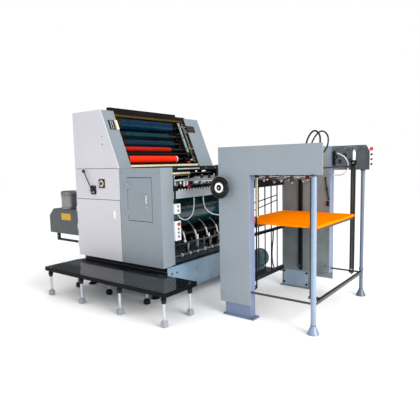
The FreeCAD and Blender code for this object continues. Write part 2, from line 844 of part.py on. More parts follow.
def lift_shafts():
    """Two cross shafts under the arms with a wheel for each chain, and the lower wheels' brackets."""
    shafts = []
    back = feeder_face + plate
    starts = (back + column_depth, back + arm_beam_depth)
    ends = (far_column_face + slot_depth, far_arm_face)
    wheel = chain_span / 2 - chain_strand - hair
    half = chain_width / 2
    for x, far, inside, end in zip(chain_x, far_chain_y, starts, ends):
        pieces = [across(x, lift_shaft_z, wheel, y - half, y + half) for y in (near_chain_y, far)]
        shafts.append(fuse(across(x, lift_shaft_z, lift_shaft_radius, inside, end), *pieces))
    return group(*shafts, *lower_wheels(wheel))


def lower_wheels(wheel):
    """Lower chain wheels on brackets from the near column, the right tie bar and the far side."""
    low = (chain_bottom - lower_bracket_half, chain_bottom + lower_bracket_half)
    column_back = feeder_face + plate + column_depth
    tie_left = post_x - tie_size_right / 2
    left_x = (chain_x[0] - lower_bracket, chain_x[0] + lower_bracket)
    right_x = (chain_x[1] - lower_bracket, chain_x[1] + lower_bracket)
    near_strand = (near_chain_y - chain_width / 2, near_chain_y + chain_width / 2)
    far_strand = (far_chain_y[1] - chain_width / 2, far_chain_y[1] + chain_width / 2)
    near_end = near_strand[0] - lower_bracket_gap
    far_end = far_strand[1] + lower_bracket_gap
    near_left = fuse(box(left_x, (column_back, near_end), low),
                     across(chain_x[0], chain_bottom, wheel, near_end, near_strand[1]))
    near_right = fuse(box((right_x[0], tie_left), (near_chain_y - lower_bracket_reach, near_end), low),
                      across(chain_x[1], chain_bottom, wheel, near_end, near_strand[1]))
    far_left = across(chain_x[0], chain_bottom, wheel,
                      far_chain_y[0] - chain_width / 2, far_column_face + slot_depth)
    far_right = fuse(box(right_x, (far_end, far_post_y - tie_size), low),
                     across(chain_x[1], chain_bottom, wheel, far_strand[0], far_end))
    return near_left, near_right, far_left, far_right


def pile_grille():
    """Upright bars that stop the pile, on three rails between the columns, with two braces."""
    inside = feeder_face + plate + column_depth
    rails = [box((grille_x - grille_rail / 2, grille_x + grille_rail / 2), (inside, far_column_face), z)
             for z in grille_rails_z]
    low, high = grille_rails_z[0][0], grille_rails_z[-1][1]
    bars = [upright(grille_x, grille_first + i * grille_pitch, grille_bar_radius, low, high)
            for i in range(grille_count)]
    last = grille_first + (grille_count - 1) * grille_pitch
    braces = [rod(brace_radius, (grille_x, grille_first + grille_pitch, z0), (grille_x, last, z1))
              for z0, z1 in brace_heights]
    return fuse(rails[0], *rails[1:], *bars, *braces)


def pump():
    """Air pump with its motor, lying on a shelf that hangs from the lowest pile-stop rail."""
    shelf_top = grille_rails_z[0][1]
    rail_left = grille_x - grille_rail / 2
    pump_far = pump_near + pump_length
    saddle_half, saddle_inset = pump_saddle
    nose_share, nose_length = pump_nose
    shelf_reach, shelf_thickness = pump_shelf
    shelf = box((rail_left - shelf_reach, rail_left),
                (pump_near - pump_shelf_margin, pump_far + pump_shelf_margin),
                (shelf_top - shelf_thickness, shelf_top))
    axis_z = shelf_top + pump_radius + pump_lift
    drum = across(pump_axis_x, axis_z, pump_radius, pump_near, pump_far)
    nose = across(pump_axis_x, axis_z, nose_share * pump_radius, pump_near - nose_length, pump_near)
    saddle = box((pump_axis_x - saddle_half, pump_axis_x + saddle_half),
                 (pump_near + saddle_inset, pump_far - saddle_inset), (shelf_top, axis_z))
    return fuse(shelf, drum, nose, saddle)


def suction_head():
    """Cross tube between the arms, with the head and its suckers at the middle of the pile."""
    inside = feeder_face + plate + arm_beam_depth
    tube = across(head_tube_x, head_tube_z, head_tube_radius, inside, far_column_face)
    body = box(head_box_x, head_box_y, head_box_z)
    suckers = []
    for x in (head_box_x[0] + sucker_inset, head_box_x[1] - sucker_inset):
        for y in (head_box_y[0] + sucker_inset, head_box_y[1] - sucker_inset):
            suckers.append(upright(x, y, sucker_radius, head_box_z[0] - sucker_drop, head_box_z[0]))
    clamp = box((head_tube_x - head_clamp, head_tube_x + head_clamp),
                (head_box_y[0] + head_clamp_inset, head_box_y[1] - head_clamp_inset),
                (head_box_z[1], head_tube_z + head_clamp))
    return fuse(tube, body, clamp, *suckers)


def pile_feeler():
    """Lever on the far arm that feels the height of the pile."""
    spring_x, spring_y, spring_radius = feeler_spring
    arch_z = (feeler_pin_z - feeler_arch_half, feeler_pin_z + feeler_arch_half)
    pin = across(feeler_x, feeler_pin_z, feeler_pin_radius, feeler_y, far_arm_face)
    arch = box([feeler_x + x for x in feeler_arch_x], [feeler_y + y for y in feeler_arch_y], arch_z)
    spring = upright(feeler_x + spring_x, feeler_y + spring_y, spring_radius, feeler_spring_bottom, arch_z[0])
    foot = box([feeler_x + x for x in feeler_foot_x], [feeler_y + y for y in feeler_foot_y],
               (feeler_foot_bottom, feeler_spring_bottom))
    return fuse(pin, arch, spring, foot)


def save(name, shape):
    shape.translate(-floor_centre)
    shape.exportStep(f"parts/{name}.step")


def main():
    os.makedirs("parts", exist_ok=True)
    plain_nodes = (
        base_frame, press_feet, near_upper_cabinet, far_cabinet, light_panels, near_lower_cabinet,
        side_door, gear_cover, gear_cover_hatch, rear_cover, inner_panels, control_plates, operating_lever,
        ink_duct, ink_guard_bars, impression_cylinder, end_bars, tape_roller, feedboard, delivery_fingers,
        delivery_wheels, control_boxes, drive_housing, drive_motor, drive_bracket, footboard, footboard_legs,
        near_arm_cover, near_column, far_column, far_arm_cover, outer_posts, tie_bars, handwheel, pile_board,
        lift_chains, lift_shafts, pile_grille, pump, suction_head, pile_feeler,
    )
    for make in plain_nodes:
        save(make.__name__, make())
    save("near_side_frame", side_frame_plate(near_wall_y))
    save("far_side_frame", side_frame_plate(far_inner))
    for name, z, radius, barrel_end in rollers:
        save(name, roller(z, radius, barrel_end))
    for name, (radius, points) in hose_routes.items():
        hose, length, bends = tube_along(points, radius)
        fill = hose.Volume / (math.pi * radius ** 2 * length)
        print(name, "length", round(length), "volume ratio", round(fill, 4), "bend radii", bends)
        save(name, hose)


main()
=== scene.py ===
"""Finishes and fine detail for a single colour offset printing press with its feeder.

Shapes are built in machine millimetres: x = 0 at the press's left end, y = 0 on the operator's
side cover, z = 0 on the floor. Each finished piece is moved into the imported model's frame.
"""
import itertools
import math

import bmesh
import bpy
from mathutils import Matrix, Vector


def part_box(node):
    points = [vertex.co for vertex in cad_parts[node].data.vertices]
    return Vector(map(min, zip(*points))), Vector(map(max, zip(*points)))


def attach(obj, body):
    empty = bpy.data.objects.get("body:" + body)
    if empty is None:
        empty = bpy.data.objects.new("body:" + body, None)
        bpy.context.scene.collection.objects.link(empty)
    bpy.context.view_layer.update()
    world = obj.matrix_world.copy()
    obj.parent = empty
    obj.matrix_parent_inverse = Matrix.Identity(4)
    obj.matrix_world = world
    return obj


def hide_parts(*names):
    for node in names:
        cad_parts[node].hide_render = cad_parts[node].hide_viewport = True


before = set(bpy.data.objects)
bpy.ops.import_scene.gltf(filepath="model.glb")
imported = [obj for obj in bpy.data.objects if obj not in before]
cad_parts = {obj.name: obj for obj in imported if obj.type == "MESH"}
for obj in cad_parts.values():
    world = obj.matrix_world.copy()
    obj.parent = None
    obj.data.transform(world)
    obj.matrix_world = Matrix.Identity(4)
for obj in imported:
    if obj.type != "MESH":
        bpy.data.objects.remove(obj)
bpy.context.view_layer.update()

bl_info = {
    "name": "Offset press finishes",
    "version": (1, 0, 0),
    "blender": (4, 5, 0),
    "location": "3D View > Sidebar > Press",
    "description": "Adds finishes and fine detail to the offset press model",
    "category": "Object",
}

# The operator's side panels stand at x = 0 and y = 0 of the machine.
MACHINE_ORIGIN = Vector((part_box("light_panels")[0][0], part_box("light_panels")[0][1], 0.0))
TO_FRAME = Matrix.Translation(MACHINE_ORIGIN) @ Matrix.Scale(0.001, 4)
TO_MACHINE = TO_FRAME.inverted()
X, Y, Z = Vector((1, 0, 0)), Vector((0, 1, 0)), Vector((0, 0, 1))


def node_box(node):
    """Lowest and highest corner of a CAD node in machine millimetres."""
    low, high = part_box(node)
    return TO_MACHINE @ Vector(low), TO_MACHINE @ Vector(high)


def axle(node):
    """Middle line at y = 0 and radius of a CAD node that lies along y."""
    low, high = node_box(node)
    return Vector(((low.x + high.x) / 2, 0, (low.z + high.z) / 2)), (high.z - low.z) / 2


# The slanted front runs from the top of the light cover down to the top of the gear cover.
SLANT_TOP_Z = node_box("light_panels")[1].z
SLANT_FOOT_Z = node_box("gear_cover")[1].z
SLANT_FOOT_X = node_box("light_panels")[1].x
SLANT_TOP_X = 449.5
SLANT_RUN = SLANT_FOOT_X - SLANT_TOP_X
SLANT_RISE = SLANT_TOP_Z - SLANT_FOOT_Z
SLANT = math.hypot(SLANT_RUN, SLANT_RISE)


def slant_x(z):
    """x on the slanted front at height z."""
    return SLANT_TOP_X + (SLANT_TOP_Z - z) * SLANT_RUN / SLANT_RISE


def on_slant(y, z):
    """Matrix with local x across the machine, local y up the slant and local z out of it."""
    up = Vector((-SLANT_RUN, 0, SLANT_RISE)) / SLANT
    out = Vector((SLANT_RISE, 0, SLANT_RUN)) / SLANT
    turn = Matrix((Y, up, out)).transposed().to_4x4()
    return Matrix.Translation((slant_x(z), y, z)) @ turn


def rgb(red, green, blue):
    """Linear colour from display values 0 to 255."""
    def linear(value):
        value /= 255
        return value / 12.92 if value <= 0.04045 else ((value + 0.055) / 1.055) ** 2.4
    return (linear(red), linear(green), linear(blue))


# ---------------------------------------------------------------- settings

def colour(name, description, default):
    return bpy.props.FloatVectorProperty(
        name=name, description=description, default=default, subtype="COLOR", size=3, min=0, max=1)


def length(name, description, default, low, high):
    return bpy.props.FloatProperty(name=name, description=description, default=default, min=low, max=high,
                                   subtype="DISTANCE", unit="LENGTH")


class PRESS_PG_colours(bpy.types.PropertyGroup):
    """Paints and plastics of the press."""
    pale_panel: colour("Pale panel", "Cover on the operator's side", rgb(196, 194, 201))
    cover: colour("Cover", "Gear covers, cabinets and the feeder's covers", rgb(131, 141, 149))
    column: colour("Column", "Columns of the feeder", rgb(104, 119, 150))
    base: colour("Base", "Base beam", rgb(118, 144, 166))
    drive: colour("Drive", "Drive housing and motor", rgb(70, 75, 80))
    post: colour("Post", "Posts of the feeder", rgb(126, 145, 168))
    board: colour("Pile board", "Pile board", rgb(255, 130, 0))
    ink_red: colour("Red ink", "Ink on the duct roller", rgb(238, 40, 0))
    ink_blue: colour("Blue ink", "Ink on the upper rollers", rgb(0, 34, 58))
    brass: colour("Brass", "Duct blade", rgb(178, 134, 66))
    cream: colour("Cream", "Guard bar at the foot of the ink unit", rgb(226, 214, 184))
    marker: colour("Marker", "Plain patch on the drive housing", rgb(214, 160, 20))


class PRESS_PG_sizes(bpy.types.PropertyGroup):
    """Sizes of the fine detail."""
    edge_rounding: length("Edge rounding", "Rounding on sheet and cast edges", 0.0025, 0.0005, 0.006)
    tread_pitch: length("Tread pitch", "Distance between ribs of the footboard", 0.030, 0.012, 0.08)
    tread_height: length("Tread height", "Height of the footboard's ribs", 0.0025, 0.0005, 0.004)
    chain_pitch: length("Chain pitch", "Distance between the pins of the lifting chains", 0.019, 0.012, 0.03)
    key_pitch: length("Ink key pitch", "Distance between the screws of the ink duct", 0.038, 0.025, 0.1)
    fin_pitch: length("Fin pitch", "Distance between the cooling fins of the motors", 0.012, 0.008, 0.03)


# Inner faces of the two walls, and where the journals that turn between them end.
FACE_NEAR, FACE_FAR = 171, 1274
WALL_NEAR, WALL_FAR = 171.3, 1273.7
# The lifting chains' two places along the machine and the height of their upper shafts.
CHAIN_X, SHAFT_Z = (2040, 2557), 1240
POST_X = 2635


# ---------------------------------------------------------------- shader nodes

def set_inputs(tree, node, inputs):
    """Gives inputs their values, or links them to other nodes' outputs."""
    for key, value in inputs.items():
        if isinstance(value, bpy.types.NodeSocket):
            tree.links.new(value, node.inputs[key])
        else:
            node.inputs[key].default_value = value


def put(tree, kind, inputs=None, **settings):
    """Adds a node with its settings and inputs."""
    node = tree.nodes.new(kind)
    for key, value in settings.items():
        setattr(node, key, value)
    set_inputs(tree, node, inputs or {})
    return node


def object_place(tree):
    return put(tree, "ShaderNodeTexCoord").outputs["Object"]


def maths(tree, operation, first, second=0.0, clamp=False):
    return put(tree, "ShaderNodeMath", {0: first, 1: second}, operation=operation,
               use_clamp=clamp).outputs[0]


def spread(tree, value, low, high):
    """0 at low and 1 at high."""
    return put(tree, "ShaderNodeMapRange", {"Value": value, "From Min": low,
                                            "From Max": high}).outputs["Result"]


def noise(tree, vector, scale, detail=3.0, roughness=0.6):
    return put(tree, "ShaderNodeTexNoise", {"Vector": vector, "Scale": scale, "Detail": detail,
                                            "Roughness": roughness}).outputs["Fac"]


def new_group(name, inputs, outputs):
    """Node group with float or vector inputs and float outputs; returns its tree and input sockets."""
    tree = bpy.data.node_groups.new(name, "ShaderNodeTree")
    for label, default in inputs.items():
        kind = "NodeSocketVector" if isinstance(default, tuple) else "NodeSocketFloat"
        tree.interface.new_socket(label, in_out="INPUT", socket_type=kind).default_value = default
    for label in outputs:
        tree.interface.new_socket(label, in_out="OUTPUT", socket_type="NodeSocketFloat")
    return tree, tree.nodes.new("NodeGroupInput").outputs


def close_group(tree, values):
    put(tree, "NodeGroupOutput", values)
    return tree


def edge_wear_group():
    """Broken mask along the sharp edges of a piece."""
    tree, given = new_group("Edge wear", {"Radius": 0.004, "Amount": 0.5, "Breakup": 22.0}, ["Mask"])
    rounded = put(tree, "ShaderNodeBevel", {"Radius": given["Radius"]}, samples=4).outputs[0]
    flat = put(tree, "ShaderNodeNewGeometry").outputs["Normal"]
    bend = put(tree, "ShaderNodeVectorMath", {0: rounded, 1: flat}, operation="DOT_PRODUCT").outputs["Value"]
    place = object_place(tree)
    chips = spread(tree, noise(tree, place, given["Breakup"], 6.0, 0.7), 0.5, 0.66)
    edge = maths(tree, "MULTIPLY", spread(tree, bend, 0.995, 0.9), chips)
    return close_group(tree, {"Mask": maths(tree, "MULTIPLY", edge, given["Amount"], True)})


def settled_dust_group():
    """Mask of the dust that lies on faces that look up."""
    tree, given = new_group("Settled dust", {"Amount": 0.3, "Scale": 9.0}, ["Mask"])
    normal = put(tree, "ShaderNodeNewGeometry").outputs["Normal"]
    facing = put(tree, "ShaderNodeSeparateXYZ", {0: normal}).outputs["Z"]
    place = object_place(tree)
    cloud = spread(tree, noise(tree, place, given["Scale"], 5.0, 0.65), 0.3, 0.75)
    lying = maths(tree, "MULTIPLY", spread(tree, facing, 0.6, 1.0), cloud)
    return close_group(tree, {"Mask": maths(tree, "MULTIPLY", lying, given["Amount"], True)})


def paint_skin_group():
    """Orange peel of sprayed paint, and the slow drift of its shade and gloss."""
    tree, given = new_group("Paint skin", {"Peel scale": 420.0, "Drift scale": 2.6}, ["Height", "Drift"])
    place = object_place(tree)
    peel = noise(tree, place, given["Peel scale"], 1.5, 0.5)
    drift = spread(tree, noise(tree, place, given["Drift scale"], 4.0, 0.55), 0.3, 0.7)
    return close_group(tree, {"Height": peel, "Drift": drift})


def low_darkening_group():
    """Mask that darkens a surface towards the floor."""
    tree, given = new_group("Low darkening", {"Top": 0.35, "Amount": 0.5, "Scale": 14.0}, ["Mask"])
    place = object_place(tree)
    high = put(tree, "ShaderNodeSeparateXYZ", {0: place}).outputs["Z"]
    fade = put(tree, "ShaderNodeMapRange", {"Value": high, "From Min": 0.0, "From Max": given["Top"],
                                            "To Min": 1.0, "To Max": 0.0}).outputs["Result"]
    blotch = spread(tree, noise(tree, place, given["Scale"], 7.0, 0.7), 0.35, 0.7)
    grime = maths(tree, "MULTIPLY", maths(tree, "POWER", fade, 1.6), blotch)
    return close_group(tree, {"Mask": maths(tree, "MULTIPLY", grime, given["Amount"], True)})


def turned_grain_group():
    """Fine lines of turned, ground or rolled metal; the stretch is finest across the lines."""
    tree, given = new_group("Turned grain", {"Stretch": (600.0, 6.0, 600.0), "Contrast": 0.5},
                            ["Height", "Streak"])
    place = object_place(tree)
    drawn = put(tree, "ShaderNodeVectorMath", {0: place, 1: given["Stretch"]},
                operation="MULTIPLY").outputs[0]
    lines = noise(tree, drawn, 1.0, 4.0, 0.7)
    centred = maths(tree, "SUBTRACT", lines, 0.5)
    streak = maths(tree, "ADD", maths(tree, "MULTIPLY", centred, given["Contrast"]), 0.5, True)
    return close_group(tree, {"Height": lines, "Streak": streak})


def ink_film_group():
    """Bands and blotches of an ink film laid round a roller that lies along y."""
    tree, given = new_group("Ink film", {"Bands": 40.0, "Blotch scale": 12.0}, ["Thin", "Tack"])
    place = object_place(tree)
    round_it = put(tree, "ShaderNodeVectorMath", {0: place, 1: (2.0, 1.0, 2.0)},
                   operation="MULTIPLY").outputs[0]
    along = put(tree, "ShaderNodeCombineXYZ", {"Y": put(tree, "ShaderNodeSeparateXYZ",
                                                        {0: place}).outputs["Y"]}).outputs[0]
    bands = spread(tree, noise(tree, along, given["Bands"], 3.0, 0.6), 0.42, 0.72)
    blotch = spread(tree, noise(tree, round_it, given["Blotch scale"], 4.0, 0.6), 0.4, 0.7)
    tack = noise(tree, place, 900.0, 2.0, 0.5)
    return close_group(tree, {"Thin": maths(tree, "MULTIPLY", bands, blotch, True), "Tack": tack})


GROUP_MAKERS = {
    "Edge wear": edge_wear_group,
    "Settled dust": settled_dust_group,
    "Paint skin": paint_skin_group,
    "Low darkening": low_darkening_group,
    "Turned grain": turned_grain_group,
    "Ink film": ink_film_group,
}


def effect(tree, name, **inputs):
    """Places a shared effect in a material; inputs are named with _ for a space."""
    group = bpy.data.node_groups.get(name) or GROUP_MAKERS[name]()
    node = put(tree, "ShaderNodeGroup", node_tree=group)
    for key, value in inputs.items():
        node.inputs[key.replace("_", " ").capitalize()].default_value = value
    return node.outputs


def mixed(tree, mask, first, second):
    """Colour that is first where the mask is 0 and second where it is 1."""
    node = put(tree, "ShaderNodeMix", data_type="RGBA")
    for socket, value in ((node.inputs[0], mask), (node.inputs[6], first), (node.inputs[7], second)):
        if isinstance(value, bpy.types.NodeSocket):
            tree.links.new(value, socket)
        else:
            socket.default_value = (*value, 1.0) if isinstance(value, tuple) else value
    return node.outputs[2]


def blend_value(tree, mask, low, high):
    """Number that goes from low to high as the mask goes from 0 to 1."""
    return put(tree, "ShaderNodeMapRange", {"Value": mask, "To Min": low, "To Max": high}).outputs["Result"]


def shade(colour_value, factor):
    return tuple(min(1.0, channel * factor) for channel in colour_value)


def start_material():
    material = bpy.data.materials.new("press")
    material.use_nodes = True
    tree = material.node_tree
    return material, tree, tree.nodes["Principled BSDF"]


def bump(tree, shader, height, strength, distance):
    relief = put(tree, "ShaderNodeBump", {"Strength": strength, "Distance": distance, "Height": height})
    set_inputs(tree, shader, {"Normal": relief.outputs["Normal"]})


DUST = (0.42, 0.40, 0.37)
# Colour that the paint darkens to towards the floor.
LOW_DARK = (0.05, 0.045, 0.04)


def painted(base, roughness=0.38, coat=0.15, wear=0.5, dust=0.2, grime=0.0, drift=0.06,
            bare=(0.30, 0.31, 0.32), peel=0.10, shine=0.5):
    """Sprayed paint over steel with chipped edges, dust and, low down, a darkening towards the floor."""
    material, tree, shader = start_material()
    skin = effect(tree, "Paint skin")
    paint = mixed(tree, skin["Drift"], shade(base, 1 - drift), shade(base, 1 + drift))
    worn = effect(tree, "Edge wear", amount=wear)["Mask"]
    dusty = effect(tree, "Settled dust", amount=dust)["Mask"]
    paint = mixed(tree, worn, paint, bare)
    paint = mixed(tree, dusty, paint, DUST)
    # Darkens the paint towards the floor.
    if grime:
        low_mask = effect(tree, "Low darkening", amount=grime)["Mask"]
        paint = mixed(tree, low_mask, paint, LOW_DARK)
    gloss = blend_value(tree, skin["Drift"], roughness - 0.04, roughness + 0.05)
    set_inputs(tree, shader, {"Base Color": paint, "Roughness": maths(tree, "ADD", gloss,
                                                                      maths(tree, "MULTIPLY", dusty, 0.35),
                                                                      True), "Specular IOR Level": shine,
                              "Coat Weight": coat, "Coat Roughness": 0.12})
    bump(tree, shader, skin["Height"], peel, 0.0004)
    return material


def metal(base, roughness=0.22, stretch=(600.0, 6.0, 600.0), contrast=0.5, dark=0.6, relief=0.12,
          dust=0.1):
    """Machined or plated metal with its grain, and a little tarnish."""
    material, tree, shader = start_material()
    grain = effect(tree, "Turned grain", stretch=stretch, contrast=contrast)
    skin = effect(tree, "Paint skin", drift_scale=7.0)
    dusty = effect(tree, "Settled dust", amount=dust)["Mask"]
    tone = mixed(tree, grain["Streak"], shade(base, dark), base)
    tone = mixed(tree, maths(tree, "MULTIPLY", skin["Drift"], 0.35), tone, shade(base, dark * 0.8))
    set_inputs(tree, shader, {"Base Color": mixed(tree, dusty, tone, DUST), "Metallic": 1.0,
                              "Roughness": blend_value(tree, grain["Streak"], roughness + 0.12,
                                                       roughness - 0.05)})
    bump(tree, shader, grain["Height"], relief, 0.0002)
    return material


def inked(base, thin, roughness=0.16, bands=40.0):
    """Roller covered with a wet ink film."""
    material, tree, shader = start_material()
    film = effect(tree, "Ink film", bands=bands)
    set_inputs(tree, shader, {"Base Color": mixed(tree, film["Thin"], base, thin),
                              "Roughness": blend_value(tree, film["Thin"], roughness, roughness + 0.16),
                              "Specular IOR Level": 0.2, "Coat Weight": 0.05, "Coat Roughness": 0.08})
    bump(tree, shader, film["Tack"], 0.12, 0.0003)
    return material


def plastic(base, roughness=0.3, coat=0.2, dust=0.1, scale=500.0, shine=0.5):
    """Moulded plastic or rubber with a fine texture."""
    material, tree, shader = start_material()
    skin = effect(tree, "Paint skin", peel_scale=scale, drift_scale=12.0)
    dusty = effect(tree, "Settled dust", amount=dust)["Mask"]
    body = mixed(tree, skin["Drift"], shade(base, 0.9), shade(base, 1.08))
    set_inputs(tree, shader, {"Base Color": mixed(tree, dusty, body, DUST),
                              "Roughness": blend_value(tree, skin["Drift"], roughness - 0.03,
                                                       roughness + 0.08), "Specular IOR Level": shine,
                              "Coat Weight": coat})
    bump(tree, shader, skin["Height"], 0.08, 0.0003)
    return material


def finishes():
    """Makers of every finish, by name."""
    c = bpy.context.scene.press_colours
    own = {name: tuple(getattr(c, name)) for name in c.__annotations__}
    return {
        "pale_panel": lambda: painted(own["pale_panel"], 0.34, 0.2, wear=0.35, grime=0.25, drift=0.02),
        "grey_blue_panel": lambda: painted(own["cover"], 0.38, 0.12, wear=0.35, dust=0.1, grime=0.3,
                                           drift=0.03),
        "hatch_paint": lambda: painted(shade(own["cover"], 0.96), 0.36, 0.12, wear=0.3, drift=0.03),
        # A shaded copy of the cover paint for the slanted faces: painted shade for how the light falls on
        # them.
        "slant_face_shade": lambda: painted(shade(own["cover"], 0.98), 0.38, 0.12, wear=0.35, dust=0.06,
                                       drift=0.05),
        "grey_blue_frame": lambda: painted(own["column"], 0.34, 0.2, dust=0.1, grime=0.4),
        "casting": lambda: painted(shade(own["cover"], 0.5), 0.42, 0.05, wear=0.4, dust=0.1, grime=0.4,
                                   drift=0.3, peel=0.35, shine=0.35),
        "column_grey": lambda: painted(rgb(116, 124, 126), 0.42, 0.05, wear=0.4, dust=0.1, grime=0.5,
                                       drift=0.3, peel=0.3, shine=0.35),
        "channel_grey": lambda: painted(rgb(86, 92, 90), 0.4, 0.05, dust=0.05, drift=0.3),
        "foot_grey": lambda: painted(rgb(134, 154, 174), 0.4, 0.1, dust=0.1, drift=0.15),
        "plate_olive": lambda: painted(rgb(84, 88, 76), 0.42, 0.05, wear=0.7, dust=0.05, drift=0.5,
                                       shine=0.3),
        "arm_grey": lambda: painted(rgb(84, 94, 100), 0.4, 0.05, dust=0.08, drift=0.3, peel=0.3, shine=0.35),
        "base_paint": lambda: painted(own["base"], 0.26, 0.3, wear=0.6, dust=0.2, grime=0.6, drift=0.3),
        "drive_grey": lambda: painted(own["drive"], 0.42, 0.1, dust=0.12, drift=0.08, peel=0.2),
        "black_steel": lambda: painted((0.006, 0.007, 0.007), 0.3, 0.0, wear=0.12, dust=0.02, drift=0.3,
                                       shine=0.22),
        # Near-black paint with brown worn edges for faces inside the machine, in recesses and under parts:
        # painted shade where the light does not reach.
        "painted_shade_inside": lambda: painted((0.008, 0.010, 0.011), 0.4, 0.05, wear=0.35, dust=0.02, drift=0.6,
                                       bare=(0.16, 0.13, 0.09), shine=0.2),
        "bright_steel": lambda: metal((0.66, 0.67, 0.68), 0.2),
        "dark_steel": lambda: metal((0.11, 0.112, 0.115), 0.3, dark=0.5, dust=0.05),
        "chrome": lambda: metal((0.88, 0.89, 0.9), 0.07, contrast=0.3, dark=0.85, relief=0.03, dust=0.05),
        "leg_silver": lambda: painted(rgb(182, 186, 190), 0.3, 0.25, wear=0.4, grime=0.3),
        "foot_silver": lambda: painted(rgb(146, 150, 160), 0.34, 0.2, wear=0.7, grime=0.3, drift=0.2),
        "post_paint": lambda: painted(own["post"], 0.26, 0.35, wear=0.4, dust=0.05, grime=0.3),
        # Half-bright copy of the post paint for the far post: painted shade on it.
        "far_post_shade": lambda: painted(shade(own["post"], 0.5), 0.3, 0.2, wear=0.4, grime=0.3, drift=0.08),
        "ink_blue": lambda: inked(own["ink_blue"], (0.004, 0.052, 0.075)),
        "ink_teal": lambda: inked((0.0, 0.026, 0.036), (0.012, 0.075, 0.08), 0.2),
        "ink_red": lambda: inked(own["ink_red"], shade(own["ink_red"], 0.8), 0.3, 70.0),
        "ink_dark_red": lambda: inked(shade(own["ink_red"], 0.5), (0.02, 0.004, 0.003), 0.25, 90.0),
        "board_orange": lambda: painted(own["board"], 0.7, 0.0, wear=0.2, dust=0.0, drift=0.02,
                                        bare=(0.30, 0.11, 0.03), shine=0.0),
        "board_edge": lambda: painted((0.10, 0.05, 0.025), 0.6, 0.0, wear=0.3, dust=0.05, drift=0.3,
                                      peel=0.5),
        "white_box": lambda: plastic(rgb(232, 234, 236), 0.3),
        "hose_black": lambda: plastic((0.010, 0.010, 0.011), 0.38, 0.1, 0.05, 260.0, 0.35),
        "hose_white": lambda: plastic(rgb(214, 220, 222), 0.36, 0.2, 0.1, 260.0),
        "pump_green": lambda: painted(rgb(72, 96, 102), 0.38, 0.2, wear=0.6, dust=0.15, drift=0.25, peel=0.4),
        "wheel_black": lambda: plastic((0.004, 0.004, 0.005), 0.16, 0.1, 0.0, 200.0, 0.25),
        "rubber": lambda: plastic((0.010, 0.010, 0.011), 0.6, 0.0, 0.08, 180.0, 0.3),
        "brass": lambda: metal(own["brass"], 0.3, (6.0, 3.0, 6.0), 0.8, 0.4, 0.1),
        "copper_brown": lambda: metal(rgb(134, 66, 44), 0.4, (40.0, 40.0, 40.0), 0.7, 0.4, 0.3),
        "cream": lambda: painted(own["cream"], 0.4, 0.15, dust=0.05, drift=0.08),
        # Dark olive under cream parts: painted shade on their undersides.
        "cream_underside_shade": lambda: painted(rgb(92, 92, 44), 0.4, 0.1, dust=0.1, drift=0.2),
        "red_plastic": lambda: plastic(rgb(214, 24, 10), 0.24, 0.3),
        "marker": lambda: painted(own["marker"], 0.5, 0.05, wear=0.0, dust=0.05, drift=0.25),
        "smoked_glass": lambda: plastic(rgb(58, 44, 42), 0.16, 0.3, 0.02, 60.0, 0.3),
        "dial_face": lambda: plastic(rgb(206, 182, 170), 0.35, 0.2),
        "link_grey": lambda: painted(rgb(136, 142, 140), 0.35, 0.2, wear=0.7, dust=0.1, drift=0.3),
        "beam_grey": lambda: painted(rgb(164, 174, 182), 0.3, 0.2, wear=0.6, dust=0.1, drift=0.2),
        "motor_metal": lambda: metal((0.56, 0.56, 0.555), 0.34, (9.0, 9.0, 60.0), 0.35, 0.6, 0.1, 0.2),
        "chain_steel": lambda: metal((0.10, 0.108, 0.108), 0.4, (40.0, 40.0, 40.0), 0.6, 0.4, 0.1, 0.02),
        "tread_black": lambda: painted((0.003, 0.006, 0.009), 0.06, 0.6, wear=0.1, dust=0.0, drift=0.3,
                                       peel=0.02, shine=0.9),
        # Teal paint for the impression cylinder: painted sheen, the teal sheen seen on the drum laid into its
        # colour.
        "cylinder_teal_sheen": lambda: painted(rgb(16, 58, 66), 0.14, 0.2, wear=0.6, dust=0.02, drift=0.5,
                                         peel=0.05),
        "edge_black": lambda: plastic((0.0012, 0.0014, 0.0018), 0.5, 0.0, 0.05, 200.0, 0.12),
        "floor": lambda: painted((0.995, 0.995, 0.995), 0.8, 0.0, wear=0.0, dust=0.0, drift=0.005, peel=0.02,
                                 shine=0.0),
    }


def finish(name):
    """Material of that name, made the first time it is asked for."""
    label = "press_" + name
    if label not in bpy.data.materials:
        finishes()[name]().name = label
    return bpy.data.materials[label]


# ---------------------------------------------------------------- mesh building

def round_edges(bm, width, segments=2, angle=25.0):
    """Rounds the edges where faces meet more sharply than the angle."""
    sharp = [e for e in bm.edges if e.is_manifold and e.calc_face_angle(0.0) > math.radians(angle)]
    bmesh.ops.bevel(bm, geom=sharp, offset=width, offset_type="OFFSET", segments=segments, profile=0.5,
                    affect="EDGES", clamp_overlap=True, material=-1)


def aimed(start, direction):
    """Matrix that takes local z to a direction from a start point."""
    return Matrix.Translation(start) @ Vector(direction).to_track_quat("Z", "Y").to_matrix().to_4x4()


